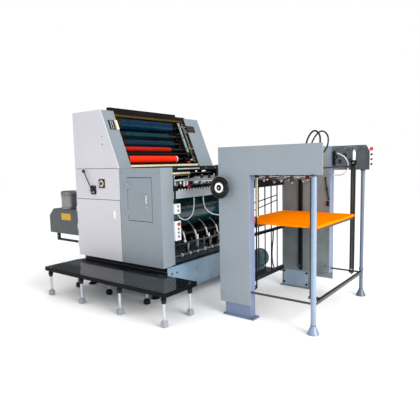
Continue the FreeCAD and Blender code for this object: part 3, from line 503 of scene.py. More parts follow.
class Shape:
    """Mesh of one piece in machine millimetres; every form added takes a material number."""

    def __init__(self, *replaced):
        """Starts an empty mesh that stands in for the named CAD nodes."""
        self.bm = bmesh.new()
        self.replaced = replaced

    @classmethod
    def copy_of(cls, node, rounding=None, segments=2):
        """Starts from a CAD node, its triangles joined into whole faces and its edges rounded."""
        shape, part = cls(node), bmesh.new()
        part.from_mesh(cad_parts[node].data)
        bmesh.ops.transform(part, matrix=TO_MACHINE, verts=part.verts)
        bmesh.ops.remove_doubles(part, verts=part.verts, dist=0.01)
        bmesh.ops.dissolve_limit(part, angle_limit=math.radians(0.5), verts=part.verts, edges=part.edges)
        if rounding is None:
            rounding = size("edge_rounding")
        if rounding:
            round_edges(part, rounding, segments, 30.0)
        shape.add(part)
        return shape

    def add(self, part, finish_number=0, place=None):
        """Joins a finished bmesh and frees it."""
        if place is not None:
            bmesh.ops.transform(part, matrix=place, verts=part.verts)
        for face in part.faces:
            face.material_index = finish_number
        mesh = bpy.data.meshes.new("part")
        part.to_mesh(mesh)
        part.free()
        self.bm.from_mesh(mesh)
        bpy.data.meshes.remove(mesh)

    def block(self, low, high, finish_number=0, rounding=0.0, place=None, segments=2):
        part = bmesh.new()
        low, high = Vector(low), Vector(high)
        bmesh.ops.create_cube(part, size=1.0)
        bmesh.ops.transform(part,
                            matrix=Matrix.Translation((low + high) / 2) @ Matrix.Diagonal((*(high - low), 1)),
                            verts=part.verts)
        if rounding:
            round_edges(part, rounding, segments)
        self.add(part, finish_number, place)

    def bar(self, start, end, radius, finish_number=0, sides=24, rounding=0.0, place=None, end_radius=None):
        """Round, capped bar or cone between two points."""
        start, end = Vector(start), Vector(end)
        part = bmesh.new()
        bmesh.ops.create_cone(part, cap_ends=True, segments=sides, radius1=radius,
                              radius2=radius if end_radius is None else end_radius,
                              depth=(end - start).length)
        if rounding:
            round_edges(part, rounding, 2, 40.0 if sides > 10 else 70.0)
        bmesh.ops.transform(part, matrix=aimed((start + end) / 2, end - start), verts=part.verts)
        self.add(part, finish_number, place)

    def turned(self, profile, start, direction, finish_number=0, steps=48, closed=False, place=None):
        """Body of revolution; the profile holds (radius, distance along the axis) pairs."""
        part = bmesh.new()
        verts = [part.verts.new((radius, 0, along)) for radius, along in profile]
        pairs = list(zip(verts, verts[1:])) + ([(verts[-1], verts[0])] if closed else [])
        edges = [part.edges.new(pair) for pair in pairs]
        bmesh.ops.spin(part, geom=verts + edges, cent=(0, 0, 0), axis=(0, 0, 1), angle=math.tau, steps=steps,
                       use_merge=True)
        bmesh.ops.remove_doubles(part, verts=part.verts, dist=0.001)
        bmesh.ops.recalc_face_normals(part, faces=part.faces)
        bmesh.ops.transform(part, matrix=aimed(start, direction), verts=part.verts)
        self.add(part, finish_number, place)

    def solid(self, profile, *place, **more):
        """Turned body whose ends are closed down to the axis."""
        self.turned([(0, profile[0][1]), *profile, (0, profile[-1][1])], *place, **more)

    def sleeve(self, bore, profile, *place, **more):
        """Turned body with a straight bore."""
        self.turned([(bore, profile[0][1]), *profile, (bore, profile[-1][1])], *place, closed=True, **more)

    def ring(self, centre, direction, middle, thickness, finish_number=0, steps=48, sides=12):
        """Ring of round section."""
        profile = [(middle + thickness * math.cos(math.tau * i / sides),
                    thickness * math.sin(math.tau * i / sides)) for i in range(sides)]
        self.turned(profile, centre, direction, finish_number, steps, closed=True)

    def plate(self, outline, near, far, finish_number=0, rounding=0.0):
        """Plate with an outline of (x, z) points between two y."""
        part = bmesh.new()
        face = part.faces.new([part.verts.new((x, near, z)) for x, z in outline])
        made = bmesh.ops.extrude_face_region(part, geom=[face])
        moved = [v for v in made["geom"] if isinstance(v, bmesh.types.BMVert)]
        bmesh.ops.translate(part, vec=(0, far - near, 0), verts=moved)
        bmesh.ops.recalc_face_normals(part, faces=part.faces)
        if rounding:
            round_edges(part, rounding)
        self.add(part, finish_number)

    def bolt_ring(self, centre, axis_name, radius, count, start_angle, direction, size, finish_number,
                  washer=True):
        """Bolts round a centre; the first one is turned on by an angle."""
        for turn in range(count):
            arm = Matrix.Rotation(turn * math.tau / count + start_angle, 4,
                                  axis_name) @ Vector((radius, 0, 0))
            self.bolt(centre + arm, direction, size, finish_number, washer)

    def bolt(self, centre, direction, size=9.0, finish_number=0, washer=True, sides=6):
        """Hexagon head standing on a washer."""
        centre, direction = Vector(centre), Vector(direction).normalized()
        if washer:
            self.bar(centre - direction, centre + direction * 1.2, size * 1.35, finish_number, 16, 0.4)
        self.bar(centre - direction, centre + direction * size * 0.65, size, finish_number, sides,
                 size * 0.09)

    def bolts(self, xs, ys, zs, *head):
        """Bolts at every crossing of the given x, y and z; each is one number or several."""
        places = [v if isinstance(v, (tuple, list)) else (v,) for v in (xs, ys, zs)]
        for place in itertools.product(*places):
            self.bolt(place, *head)

    def gear(self, centre, direction, radius, width, finish_number=0, teeth=30):
        """Spur gear with plain teeth."""
        part = bmesh.new()
        bmesh.ops.create_cone(part, cap_ends=True, segments=teeth * 4, radius1=radius, radius2=radius,
                              depth=width)
        for vert in part.verts:
            angle = math.atan2(vert.co.y, vert.co.x) / math.tau * teeth
            if round(angle * 4) % 4 in (2, 3):
                vert.co.xy *= 1 - 5.0 / radius
        caps = [f for f in part.faces if abs(f.normal.z) > 0.9]
        bmesh.ops.inset_region(part, faces=caps, thickness=radius * 0.25, depth=0.0)
        caps = [f for f in part.faces if abs(f.normal.z) > 0.9 and f.calc_center_median().xy.length < 1.0]
        bmesh.ops.inset_region(part, faces=caps, thickness=2.0, depth=-width * 0.2)
        self.add(part, finish_number, aimed(centre, direction))

    def bent_rod(self, points, radius, finish_number=0, smooth=True, sides=4):
        """Rod or held wire along a smooth or straight-sided line."""
        curve = rod_curve("rod", [Vector(p) for p in points], radius, smooth)
        curve.bevel_resolution = sides
        holder = bpy.data.objects.new("rod", curve)
        mesh = bpy.data.meshes.new_from_object(holder)
        bpy.data.objects.remove(holder)
        bpy.data.curves.remove(curve)
        part = bmesh.new()
        part.from_mesh(mesh)
        bpy.data.meshes.remove(mesh)
        bmesh.ops.remove_doubles(part, verts=part.verts, dist=0.001)
        self.add(part, finish_number)

    def spring(self, place, radius, reach, turns, wire, finish_number):
        """Coil spring that runs along local z of its place."""
        steps = turns * 8
        line = []
        for step in range(steps + 1):
            around = math.tau * step / 8
            line.append(place @ Vector((radius * math.cos(around), radius * math.sin(around),
                                        reach * step / steps)))
        self.bent_rod(line, wire, finish_number, sides=1)

    def press_in(self, test, rim, depth):
        """Sinks the flat faces that pass a test, and leaves a rim round them."""
        self.bm.normal_update()
        flat = [f for f in self.bm.faces if test(f.calc_center_median(), f.normal)]
        bmesh.ops.inset_region(self.bm, faces=flat, thickness=rim, depth=-depth)

    def paint(self, finish_number, test):
        """Gives the faces that pass a test of centre and normal another material."""
        for face in self.bm.faces:
            if test(face.calc_center_median(), face.normal):
                face.material_index = finish_number

    def close(self, name, finish_names, slot, body="frame", crease=32.0):
        """Moves the mesh into the frame and makes the piece, which rides on a body of the frame."""
        bm = self.bm
        bmesh.ops.transform(bm, matrix=TO_FRAME, verts=bm.verts)
        bm.normal_update()
        for face in bm.faces:
            face.smooth = True
        for edge in bm.edges:
            edge.smooth = edge.is_manifold and edge.calc_face_angle(math.pi) < math.radians(crease)
        mesh = bpy.data.meshes.new(name)
        bm.to_mesh(mesh)
        bm.free()
        for finish_name in finish_names:
            mesh.materials.append(finish(finish_name))
        piece = place_object(name, mesh)
        # Keeps flat faces flat beside their rounded edges.
        level = piece.modifiers.new("level faces", "WEIGHTED_NORMAL")
        level.keep_sharp = True
        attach(piece, body)
        if self.replaced:
            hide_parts(*self.replaced)


def rod_curve(name, points, radius, smooth=True):
    """Curve of one spline with a round section."""
    curve = bpy.data.curves.new(name, "CURVE")
    curve.dimensions = "3D"
    curve.bevel_depth = radius
    curve.bevel_resolution = 5
    curve.resolution_u = 8
    curve.use_fill_caps = True
    spline = curve.splines.new("NURBS" if smooth else "POLY")
    spline.points.add(len(points) - 1)
    for point, place in zip(spline.points, points):
        point.co = (*place, 1)
    if smooth:
        spline.order_u = 3
        spline.use_endpoint_u = True
    return curve


def rows(start, end, pitch):
    """Evenly spaced places from start to end, close to a pitch apart."""
    count = max(1, round((end - start) / pitch))
    return [start + (end - start) * i / count for i in range(count + 1)]


def size(name):
    """A set size in millimetres."""
    return getattr(bpy.context.scene.press_sizes, name) * 1000


def place_object(name, data):
    holder = bpy.data.objects.new(name, data)
    bpy.context.scene.collection.objects.link(holder)
    return holder


class PieceMaker:
    """What the operators of the pieces share."""
    bl_options = {"REGISTER", "UNDO"}

    def execute(self, context):
        self.make()
        return {"FINISHED"}


# ---------------------------------------------------------------- cords

# Outside radius and real length in millimetres, stiffness, finish and route of each hose and cable.
CORDS = {
    "air_hose_long": (7, 890, "medium", "hose_black", (
        (2260, 700, 1285), (2320, 700, 1285), (2368, 610, 1320), (2400, 500, 1405),
        (2452, 425, 1480), (2520, 385, 1545), (2580, 370, 1510), (2592, 350, 1425),
        (2585, 300, 1350), (2580, 235, 1320), (2580, 173, 1320))),
    "air_hose_short": (6, 896, "medium", "hose_black", (
        (2260, 660, 1235), (2305, 660, 1235), (2375, 580, 1290), (2440, 490, 1385),
        (2505, 420, 1480), (2580, 390, 1540), (2640, 385, 1500), (2650, 360, 1420),
        (2640, 300, 1360), (2630, 235, 1345), (2630, 173, 1345))),
    "white_hose": (6, 499, "medium", "hose_white", (
        (2400, 1255, 1370), (2400, 1215, 1370), (2430, 1180, 1366), (2490, 1165, 1340),
        (2532, 1160, 1285), (2535, 1162, 1225), (2500, 1175, 1180), (2450, 1195, 1160),
        (2405, 1222, 1160), (2346, 1222, 1160))),
    "near_cable": (6, 523, "limp", "hose_white", (
        (1215, 171, 850), (1215, 205, 850), (1213, 245, 818), (1210, 300, 770),
        (1208, 370, 750), (1208, 440, 765), (1210, 487, 812), (1213, 500, 880),
        (1215, 500, 930), (1215, 500, 972))),
    "far_cable": (6, 751, "limp", "hose_white", (
        (1215, 650, 972), (1215, 650, 930), (1212, 662, 880), (1210, 700, 825),
        (1208, 770, 780), (1206, 860, 752), (1205, 960, 735), (1205, 1060, 728),
        (1206, 1150, 730), (1207, 1215, 733), (1207, 1274, 733))),
    "stop_cable": (7, 630, "medium", "hose_black", (
        (1840, 985, 610), (1840, 985, 555), (1832, 992, 500), (1816, 1010, 440),
        (1798, 1036, 376), (1780, 1070, 310), (1764, 1110, 248), (1752, 1152, 192),
        (1752, 1197, 153), (1782, 1240, 140), (1835, 1240, 140))),
}


class PRESS_OT_cords(PieceMaker, bpy.types.Operator):
    """Hoses and cables, each from its fitting to its fitting"""
    bl_idname = "press.cords"
    bl_label = "Hoses and cables"

    def make(self):
        for node, (radius, real_length, stiffness, finish_name, route) in CORDS.items():
            points = [TO_FRAME @ Vector(point) for point in route]
            curve = rod_curve(node + "_line", points, radius / 1000)
            curve.materials.append(finish(finish_name))
            cord = place_object(node + "_line", curve)
            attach(cord, "frame")
            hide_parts(node)
            self.fittings(node, radius, route)

    def fittings(self, node, radius, route):
        """Ferrule at each end of a hose, a plain gland at each end of a cable."""
        fitting = Shape()
        reach = 16 if "hose" in node else 9
        for end, inner in ((route[0], route[1]), (route[-1], route[-2])):
            end, along = Vector(end), (Vector(inner) - Vector(end)).normalized()
            fitting.solid([(radius * 1.7, 0), (radius * 1.7, reach * 0.5), (radius * 1.3, reach * 0.6),
                           (radius * 1.25, reach), (radius * 0.9, reach)], end, along, 0, 24)
        fitting.close(node + "_fittings", ["bright_steel" if "hose" in node else "rubber"], "bright_steel")


# ---------------------------------------------------------------- printing unit: covers

class PRESS_OT_side_panels(PieceMaker, bpy.types.Operator):
    """Pale cover on the operator's side, with its screws"""
    bl_idname = "press.side_panels"
    bl_label = "Operator's side cover"

    def make(self):
        Shape.copy_of("light_panels").close("side_panels", ["pale_panel"], "pale_panel")
        screws = Shape()
        for z in (1587, 1508):
            screws.bar((462, 1, z), (462, -2.5, z), 6, 0, 20, 0.8)
            screws.block((458, -2.8, z - 0.8), (466, -2.2, z + 0.8))
        screws.close("side_panel_screws", ["dark_steel"], "black_steel")


def latch_on(shape, x, z_low, z_high, key_z):
    """Bright lift latch with a key barrel under it, on a door's outer face."""
    shape.block((x - 12.5, -8.6, z_low - 1.5), (x + 12.5, 1, z_high + 1.5), 0, 4.0, segments=3)
    shape.block((x - 5, -11.5, z_low + 14), (x + 5, -4, z_high - 8), 1, 3.0, segments=3)
    shape.bar((x, 1, key_z), (x, -4.5, key_z), 8.5, 1, 28, 1.0)
    shape.block((x - 1.1, -4.9, key_z - 5), (x + 1.1, -4.2, key_z + 5), 2)


class PRESS_OT_side_door(PieceMaker, bpy.types.Operator):
    """Lower door of the operator's side with its latch and hinge pins"""
    bl_idname = "press.side_door"
    bl_label = "Side door"

    def make(self):
        Shape.copy_of("side_door", 1.6).close("side_door_leaf", ["pale_panel"], "pale_panel",
                                              body="side_door")
        fittings = Shape()
        latch_on(fittings, 601, 766, 847, 738)
        for z in (430, 620, 810):
            fittings.bar((-6.6, 17, z - 4), (-6.6, 17, z + 64), 3.2, 1, 14, 0.6)
        fittings.close("side_door_latch", ["white_box", "chrome", "rubber"], "white_box", body="side_door")


class PRESS_OT_service_hatch(PieceMaker, bpy.types.Operator):
    """Gear cover beside the pale cover, and the hatch let into it"""
    bl_idname = "press.service_hatch"
    bl_label = "Gear cover and hatch"

    def make(self):
        cover = Shape.copy_of("gear_cover")
        # Faces inside the hatch opening take the near-black paint: painted shade in the recess.
        cover.paint(1, lambda c, n: 798 < c.x < 1125 and 766 < c.z < 1180 and c.y > 1)
        cover.close("gear_cover_shell", ["grey_blue_panel", "painted_shade_inside"], "grey_blue_panel")
        Shape.copy_of("gear_cover_hatch", 1.6).close("hatch_leaf", ["hatch_paint"], "grey_blue_panel",
                                                     body="gear_cover_hatch")
        fittings = Shape()
        latch_on(fittings, 1055, 930, 1024, 902)
        for z in (815, 1071):
            fittings.bar((789, -6.6, z - 4), (789, -6.6, z + 64), 3.2, 1, 14, 0.6)
            for across, lift in ((815, 15), (815, 45), (826, 30)):
                fittings.bar((across, -6, z + lift), (across, -8.2, z + lift), 3.6, 1, 16, 0.5)
        fittings.close("hatch_latch", ["bright_steel", "chrome", "rubber"], "bright_steel",
                       body="gear_cover_hatch")


class PRESS_OT_cabinets(PieceMaker, bpy.types.Operator):
    """Sheet cabinets over both side frames, with the louvre and the window in their slanted faces"""
    bl_idname = "press.cabinets"
    bl_label = "Cabinets"

    def make(self):
        near = Shape.copy_of("near_upper_cabinet")
        # Faces that look into the machine take the near-black paint: painted shade between the walls.
        near.paint(1, lambda c, n: c.y > 125 and n.y > 0.9)
        # The slanted faces take a shaded copy of the cover paint: painted shade.
        near.paint(2, lambda c, n: 0.2 < n.z < 0.9 and n.x > 0.5)
        near.close("near_cabinet_shell", ["grey_blue_panel", "painted_shade_inside", "slant_face_shade"],
                   "grey_blue_panel")
        far = Shape.copy_of("far_cabinet")
        # Faces that look into the machine take the near-black paint: painted shade between the walls.
        far.paint(1, lambda c, n: c.y < 1300 and n.y < -0.9)
        # The slanted faces take a shaded copy of the cover paint: painted shade.
        far.paint(2, lambda c, n: 0.2 < n.z < 0.9 and n.x > 0.5)
        width = node_box("far_cabinet")[1].y
        far.press_in(lambda c, n: n.y > 0.99 and c.y > width - 0.5, 16, 4)
        far.close("far_cabinet_shell", ["grey_blue_panel", "painted_shade_inside", "slant_face_shade"], "grey_blue_panel")
        lower = Shape.copy_of("near_lower_cabinet", 1.5)
        # Faces below 953 mm take the near-black paint: painted shade low on the housing.
        lower.paint(1, lambda c, n: c.z < 953)
        lower.close("near_housing", ["pale_panel", "painted_shade_inside"], "grey_blue_panel")
        self.louvre()
        self.window()
        self.cover_screws()

    def louvre(self):
        slats = Shape()
        place = on_slant(111, 1701)
        slats.block((-56, -51, -2), (22, 51, 3), 0, 1.0, place)
        for left in (-50, -25, 0):
            lean = place @ Matrix.Rotation(math.radians(-24), 4, "Y")
            slats.block((left, -46, 3), (left + 15, 46, 7), 0, 1.2, lean)
            slats.block((left + 15.5, -44, 3), (left + 19.5, 44, 5), 1, 0.8, place)
        slats.block((25, -51, -2), (56, 51, 13), 2, 3.0, place)
        slats.close("louvre", ["black_steel", "white_box", "cream"], "black_steel")

    def window(self):
        window = Shape()
        place = on_slant(1340, 1717.5)
        window.block((-77, -42, -2), (77, 42, 5), 0, 3.0, place, 3)
        window.block((-64, -31, 4), (64, 31, 6.2), 1, 1.0, place)
        for across in (-70, 70):
            for up in (-36, 36):
                centre = place @ Vector((across, up, 5))
                window.bolt(centre, place.to_3x3() @ Z, 2.6, 0, False, 12)
        window.close("side_window", ["rubber", "smoked_glass"], "black_steel")

    def cover_screws(self):
        """Screws round the covers' edges and along the far side."""
        screws = Shape()
        width = node_box("far_cabinet")[1].y
        screws.bolts((712, 1219), 0, (390, 1220), -Y, 4.5, 0, True, 12)
        for x in rows(40, 1200, 230):
            for z in (375, 800, 1235):
                screws.bar((x, width - 6, z), (x, width - 0.5, z), 6, 0, 16, 0.8)
        screws.bolts(0, (205, 1240), rows(400, 1780, 230), -X, 5, 0, True, 12)
        screws.close("cover_screws", ["bright_steel"], "bright_steel")


class PRESS_OT_side_frames(PieceMaker, bpy.types.Operator):
    """Cast side frames, the sheets behind the rollers and the rear cover"""
    bl_idname = "press.side_frames"
    bl_label = "Side frames"

    def make(self):
        for node, inner in (("near_side_frame", 1), ("far_side_frame", -1)):
            casting = Shape.copy_of(node, 2.0)
            # Inner faces of the walls take the near-black paint: painted shade between them.
            casting.paint(1, lambda c, n, inner=inner: n.y * inner > 0.7)
            casting.close(node + "_casting", ["grey_blue_panel", "painted_shade_inside"], "grey_blue_panel")
        # The sheets behind the rollers take the near-black paint: painted shade behind the rollers.
        Shape.copy_of("inner_panels", 1.5).close("inner_sheets", ["painted_shade_inside"], "black_steel")
        Shape.copy_of("rear_cover").close("rear_sheet", ["grey_blue_panel"], "grey_blue_panel")


class PRESS_OT_lever_and_dial(PieceMaker, bpy.types.Operator):
    """Operating lever on its base, and the square dial beside it"""
    bl_idname = "press.lever_and_dial"
    bl_label = "Lever and dial"

    def make(self):
        right, _, high = node_box("control_plates")[1]
        base = Shape("control_plates")
        base.block((262, -16, 1005), (334, 0, 1095), 0, 4.5, segments=3)
        base.bar((298, -15, 1050), (298, -16.2, 1050), 27, 1, 40, 0.4)
        base.bolts((272, 324), -16, (1015, 1085), -Y, 3.6, 1, False)
        base.block((right - 87, -10, 1073), (right, 0, high), 0, 12.0, segments=4)
        centre = Vector((right - 43.5, -10, 1117.5))
        base.bar(centre, centre - Y * 1.4, 34, 2, 48, 0.5)
        for step in range(20):
            around = math.tau * step / 20
            arm = Vector((math.cos(around), 0, math.sin(around)))
            base.bar(centre + arm * 27 - Y * 1.2, centre + arm * 31.5 - Y * 1.2, 0.7, 3, 6)
        base.turned([(0, 0), (15, 0), (15, 6), (11, 8), (10, 15), (0, 16)], centre - Y * 1.4, -Y, 3, 32)
        base.block(centre + Vector((-1.2, -18.4, 0)), centre + Vector((1.2, -16.8, 10)), 2)
        base.close("lever_base_and_dial", ["black_steel", "chrome", "dial_face", "wheel_black"],
                   "black_steel")
        lever = Shape("operating_lever")
        pivot, knob = Vector((298, -27.3, 1050)), Vector((176, -27.3, 1243))
        lever.solid([(17, -11), (20, -8), (20, 8), (17, 11), (8, 11), (7, 13)], pivot, -Y, 0, 40)
        along = (knob - pivot).normalized()
        reach = (knob - pivot).length
        lever.turned([(0, 8), (7.5, 8), (7.5, 30), (5.6, 36), (5.6, reach - 26), (4.6, reach - 14),
                      (0, reach - 10)], pivot, along, 1, 24)
        lever.turned([(0, reach - 17), (8, reach - 16.5), (14, reach - 10), (17, reach), (14.5, reach + 9.5),
                      (8, reach + 15.5), (0, reach + 17)], pivot, along, 2, 32)
        lever.close("lever", ["dark_steel", "dark_steel", "wheel_black"], "bright_steel",
                    body="operating_lever", crease=40)


# ---------------------------------------------------------------- inking unit

# Finish, finish and width of the far end ring, y of the far end, gear radius.
ROLLERS = {
    "ink_drum": ("ink_blue", "dark_steel", 7, 1046, 56),
    "rider_roller": ("ink_teal", "dark_steel", 7, 920, 26),
    "form_roller": ("ink_blue", "dark_steel", 7, 960, 29),
    "red_ink_roller": ("ink_dark_red", "ink_red", 7, 880, 23),
    "ink_duct_roller": ("ink_red", "white_box", 16, 946, 33),
}
# Near end of every roller.
ROLLER_START = 196.0


class PRESS_OT_ink_rollers(PieceMaker, bpy.types.Operator):
    """Rollers of the inking unit with their journals, end rings and gears"""
    bl_idname = "press.ink_rollers"
    bl_label = "Ink rollers"

    def make(self):
        for node, (film, end_finish, ring, end, gear_radius) in ROLLERS.items():
            axis, radius = axle(node)
            self.roller(node, axis, radius, film, end_finish, ring, end, gear_radius)
            self.bearings(node, axis)

    def roller(self, node, axis, radius, film, end_finish, ring, end, gear_radius):
        piece = Shape(node)
        bare = ROLLER_START + (66 if "red" not in film else 8)
        piece.solid([(radius - 8, ROLLER_START + 6), (radius - 7, ROLLER_START + 1),
                     (radius - 2, ROLLER_START), (radius, ROLLER_START + 2), (radius, bare)], axis, Y, 3, 72)
        piece.solid([(radius, bare), (radius, end - ring - 1), (radius - 1, end - ring)], axis, Y, 0, 72)
        piece.solid([(radius - 0.4, end - ring), (radius - 0.4, end - 2), (radius - 3, end),
                     (radius - 10, end), (radius - 12, end - 4)], axis, Y, 2, 72)
        piece.turned([(0, WALL_NEAR), (13, WALL_NEAR), (14, WALL_NEAR + 1), (14, ROLLER_START + 6)], axis, Y,
                     1, 32)
        piece.turned([(14, end - 5), (14, 1098), (10, 1100), (10, 1150), (12.5, 1152), (12.5, 1190),
                      (10, 1192), (10, 1240), (14, 1242), (14, WALL_FAR - 1), (13, WALL_FAR), (0, WALL_FAR)],
                     axis, Y, 1, 32)
        if node == "red_ink_roller":
            piece.solid([(22, 173), (24, 175), (24, 193), (22, 195)], axis, Y, 2, 40)
        piece.gear(axis + Y * 1082, Y, gear_radius, 18, 1, teeth=max(16, int(gear_radius * 0.9)))
        slot = "ink_red" if "red" in film else "ink_blue"
        piece.close(node + "_barrel", [film, "dark_steel", end_finish, "rubber"], slot, body=node)

    def bearings(self, node, axis):
        """Housing on each wall, round the journal."""
        housing = Shape()
        for wall, inward in ((FACE_NEAR, 1), (FACE_FAR, -1)):
            start = Vector((axis.x, wall, axis.z))
            housing.sleeve(15, [(24, 0), (24, 5), (21, 8)], start, Y * inward, 0, 32)
            housing.bolt_ring(start + Y * 7 * inward, "Y", 19.5, 3, 0.5, Y * inward, 2.4, 0, False)
        housing.close(node + "_bearings", ["dark_steel"], "bright_steel")


class PRESS_OT_ink_duct(PieceMaker, bpy.types.Operator):
    """Duct over the rollers: rail, row of screws, blade and the ratchets at both ends"""
    bl_idname = "press.ink_duct"
    bl_label = "Ink duct"

    def make(self):
        duct = Shape.copy_of("ink_duct", 2.0)
        duct.paint(1, lambda c, n: c.z < 1819.9)
        duct.block((404, 119, 1846), (451, 156, 1882.5), 0, 4.0)
        duct.block((408, 1096, 1846), (449, 1128, 1880), 0, 4.0)
        duct.bolts(428, rows(150, 1110, 160), 1881, Z, 2.0, 2, False)
        duct.close("duct_rail", ["black_steel", "brass", "dark_steel"], "black_steel")
        keys = Shape()
        for y in rows(236, 1060, size("key_pitch")):
            keys.solid([(3.2, 0), (3.2, 5), (6.5, 6), (6.5, 12.5), (5, 14)], (439.5, y, 1836), X, 0, 14)
        keys.close("duct_screws", ["dark_steel"], "bright_steel")
        ratchets = Shape()
        for y, turn in ((182, 1), (1078, -1), (1150, -1)):
            ratchets.block((424, y, 1823), (446, y + 30, 1846), 0, 4.0)
            ratchets.gear((436, y + 15, 1806), X, 15, 7, 1, 18)
            ratchets.bar((448, y + 15, 1833), (452, y + 15, 1833), 7, 1, 20, 1.0)
            ratchets.block((430, y + 34 * turn, 1796), (444, y + 34 * turn + 14, 1828), 2, 3.0)
        ratchets.close("duct_ratchets", ["copper_brown", "dark_steel", "brass"], "bright_steel")


class PRESS_OT_throw_off(PieceMaker, bpy.types.Operator):
    """Guard bars, the long throw-off link and the small gear at the far end of the rollers"""
    bl_idname = "press.throw_off"
    bl_label = "Guard bars and throw-off"

    def make(self):
        bars = Shape.copy_of("ink_guard_bars", 1.6)
        bars.paint(1, lambda c, n: c.z < 1300)
        # Downward faces of the cream bar take dark olive: painted shade under it.
        bars.paint(2, lambda c, n: c.z < 1300 and n.z < -0.6)
        bars.paint(3, lambda c, n: 1400 < c.z < 1430 and c.y < 1139)
        for z in (1740, 1480, 1610):
            centre = on_slant(1153, z) @ Vector((0, 0, -3))
            bars.bolt(centre, Vector((SLANT_RISE, 0, SLANT_RUN)), 7, 3)
        bars.close("guard_bars", ["link_grey", "cream", "cream_underside_shade", "dark_steel"], "bright_steel")
        plate = Shape()
        place = on_slant(1220, 1560)
        plate.block((-14, -255, -15), (14, 245, -4), 0, 3.0, place)
        for up in (-225, -120, -10, 100, 215):
            centre = place @ Vector((0, up, -4))
            plate.bolt(centre, Vector((SLANT_RISE, 0, SLANT_RUN)), 6, 1)
        plate.block((-9, -180, -5), (9, -140, 3), 2, 2.0, place)
        plate.block((14, 120, -14), (44, 170, -6), 0, 2.5, place)
        plate.bar(place @ Vector((-20, 150, -9)), place @ Vector((30, 150, -9)), 4, 1, 16)
        plate.close("throw_off_plate", ["plate_olive", "dark_steel", "copper_brown"], "grey_blue_panel")
        self.far_end_gear()

    def far_end_gear(self):
        """Springs, collars and arms between the rollers' far ends and the far wall."""
        gear = Shape()
        for index, (inside, z) in enumerate(((96, 1660), (100, 1575), (86, 1500), (96, 1420), (110, 1330))):
            x = slant_x(z) - inside
            gear.bar((x, 1110, z), (x, 1272, z), 6, 0, 20)
            gear.sleeve(7, [(15, 0), (15, 12), (12, 15)], (x, 1128 + index * 17, z), Y, 1, 28)
            gear.spring(aimed((x, 1175, z), Y), 11, 62, 8, 1.6, 1)
            gear.block((x - 12, 1248, z - 34), (x + 12, 1262, z + 16), 2, 3.0)
            gear.bolt((x, 1248, z - 24), -Y, 5, 0)
        gear.bar((slant_x(1318) - 24, 1100, 1318), (slant_x(1318) - 24, 1128, 1318), 10, 3, 24, 2.0)
        gear.bar((slant_x(1345) - 20, 1176, 1345), (slant_x(1345) - 20, 1196, 1345), 8, 4, 24, 2.0)
        gear.close("far_end_gear", ["bright_steel", "dark_steel", "casting", "red_plastic", "white_box"],
                   "bright_steel")


# ---------------------------------------------------------------- delivery end

# y, lowest and highest z, half width and finish number of each lay stop.
CLIPS = (
    (193, 1097, 1133, 9, 5), (214, 1092, 1128, 7, 1), (271, 1107, 1133, 8, 0), (325, 1084, 1143, 11, 0),
    (367, 1088, 1146, 12, 0), (440, 1100, 1124, 9, 4), (505, 1104, 1136, 32, 0), (585, 1092, 1118, 8, 1),
    (625, 1104, 1121, 34, 0), (710, 1096, 1126, 9, 5), (790, 1100, 1130, 26, 0), (880, 1092, 1128, 9, 1),
    (960, 1102, 1128, 28, 0), (1050, 1090, 1124, 10, 5), (1150, 1100, 1130, 24, 0),
)


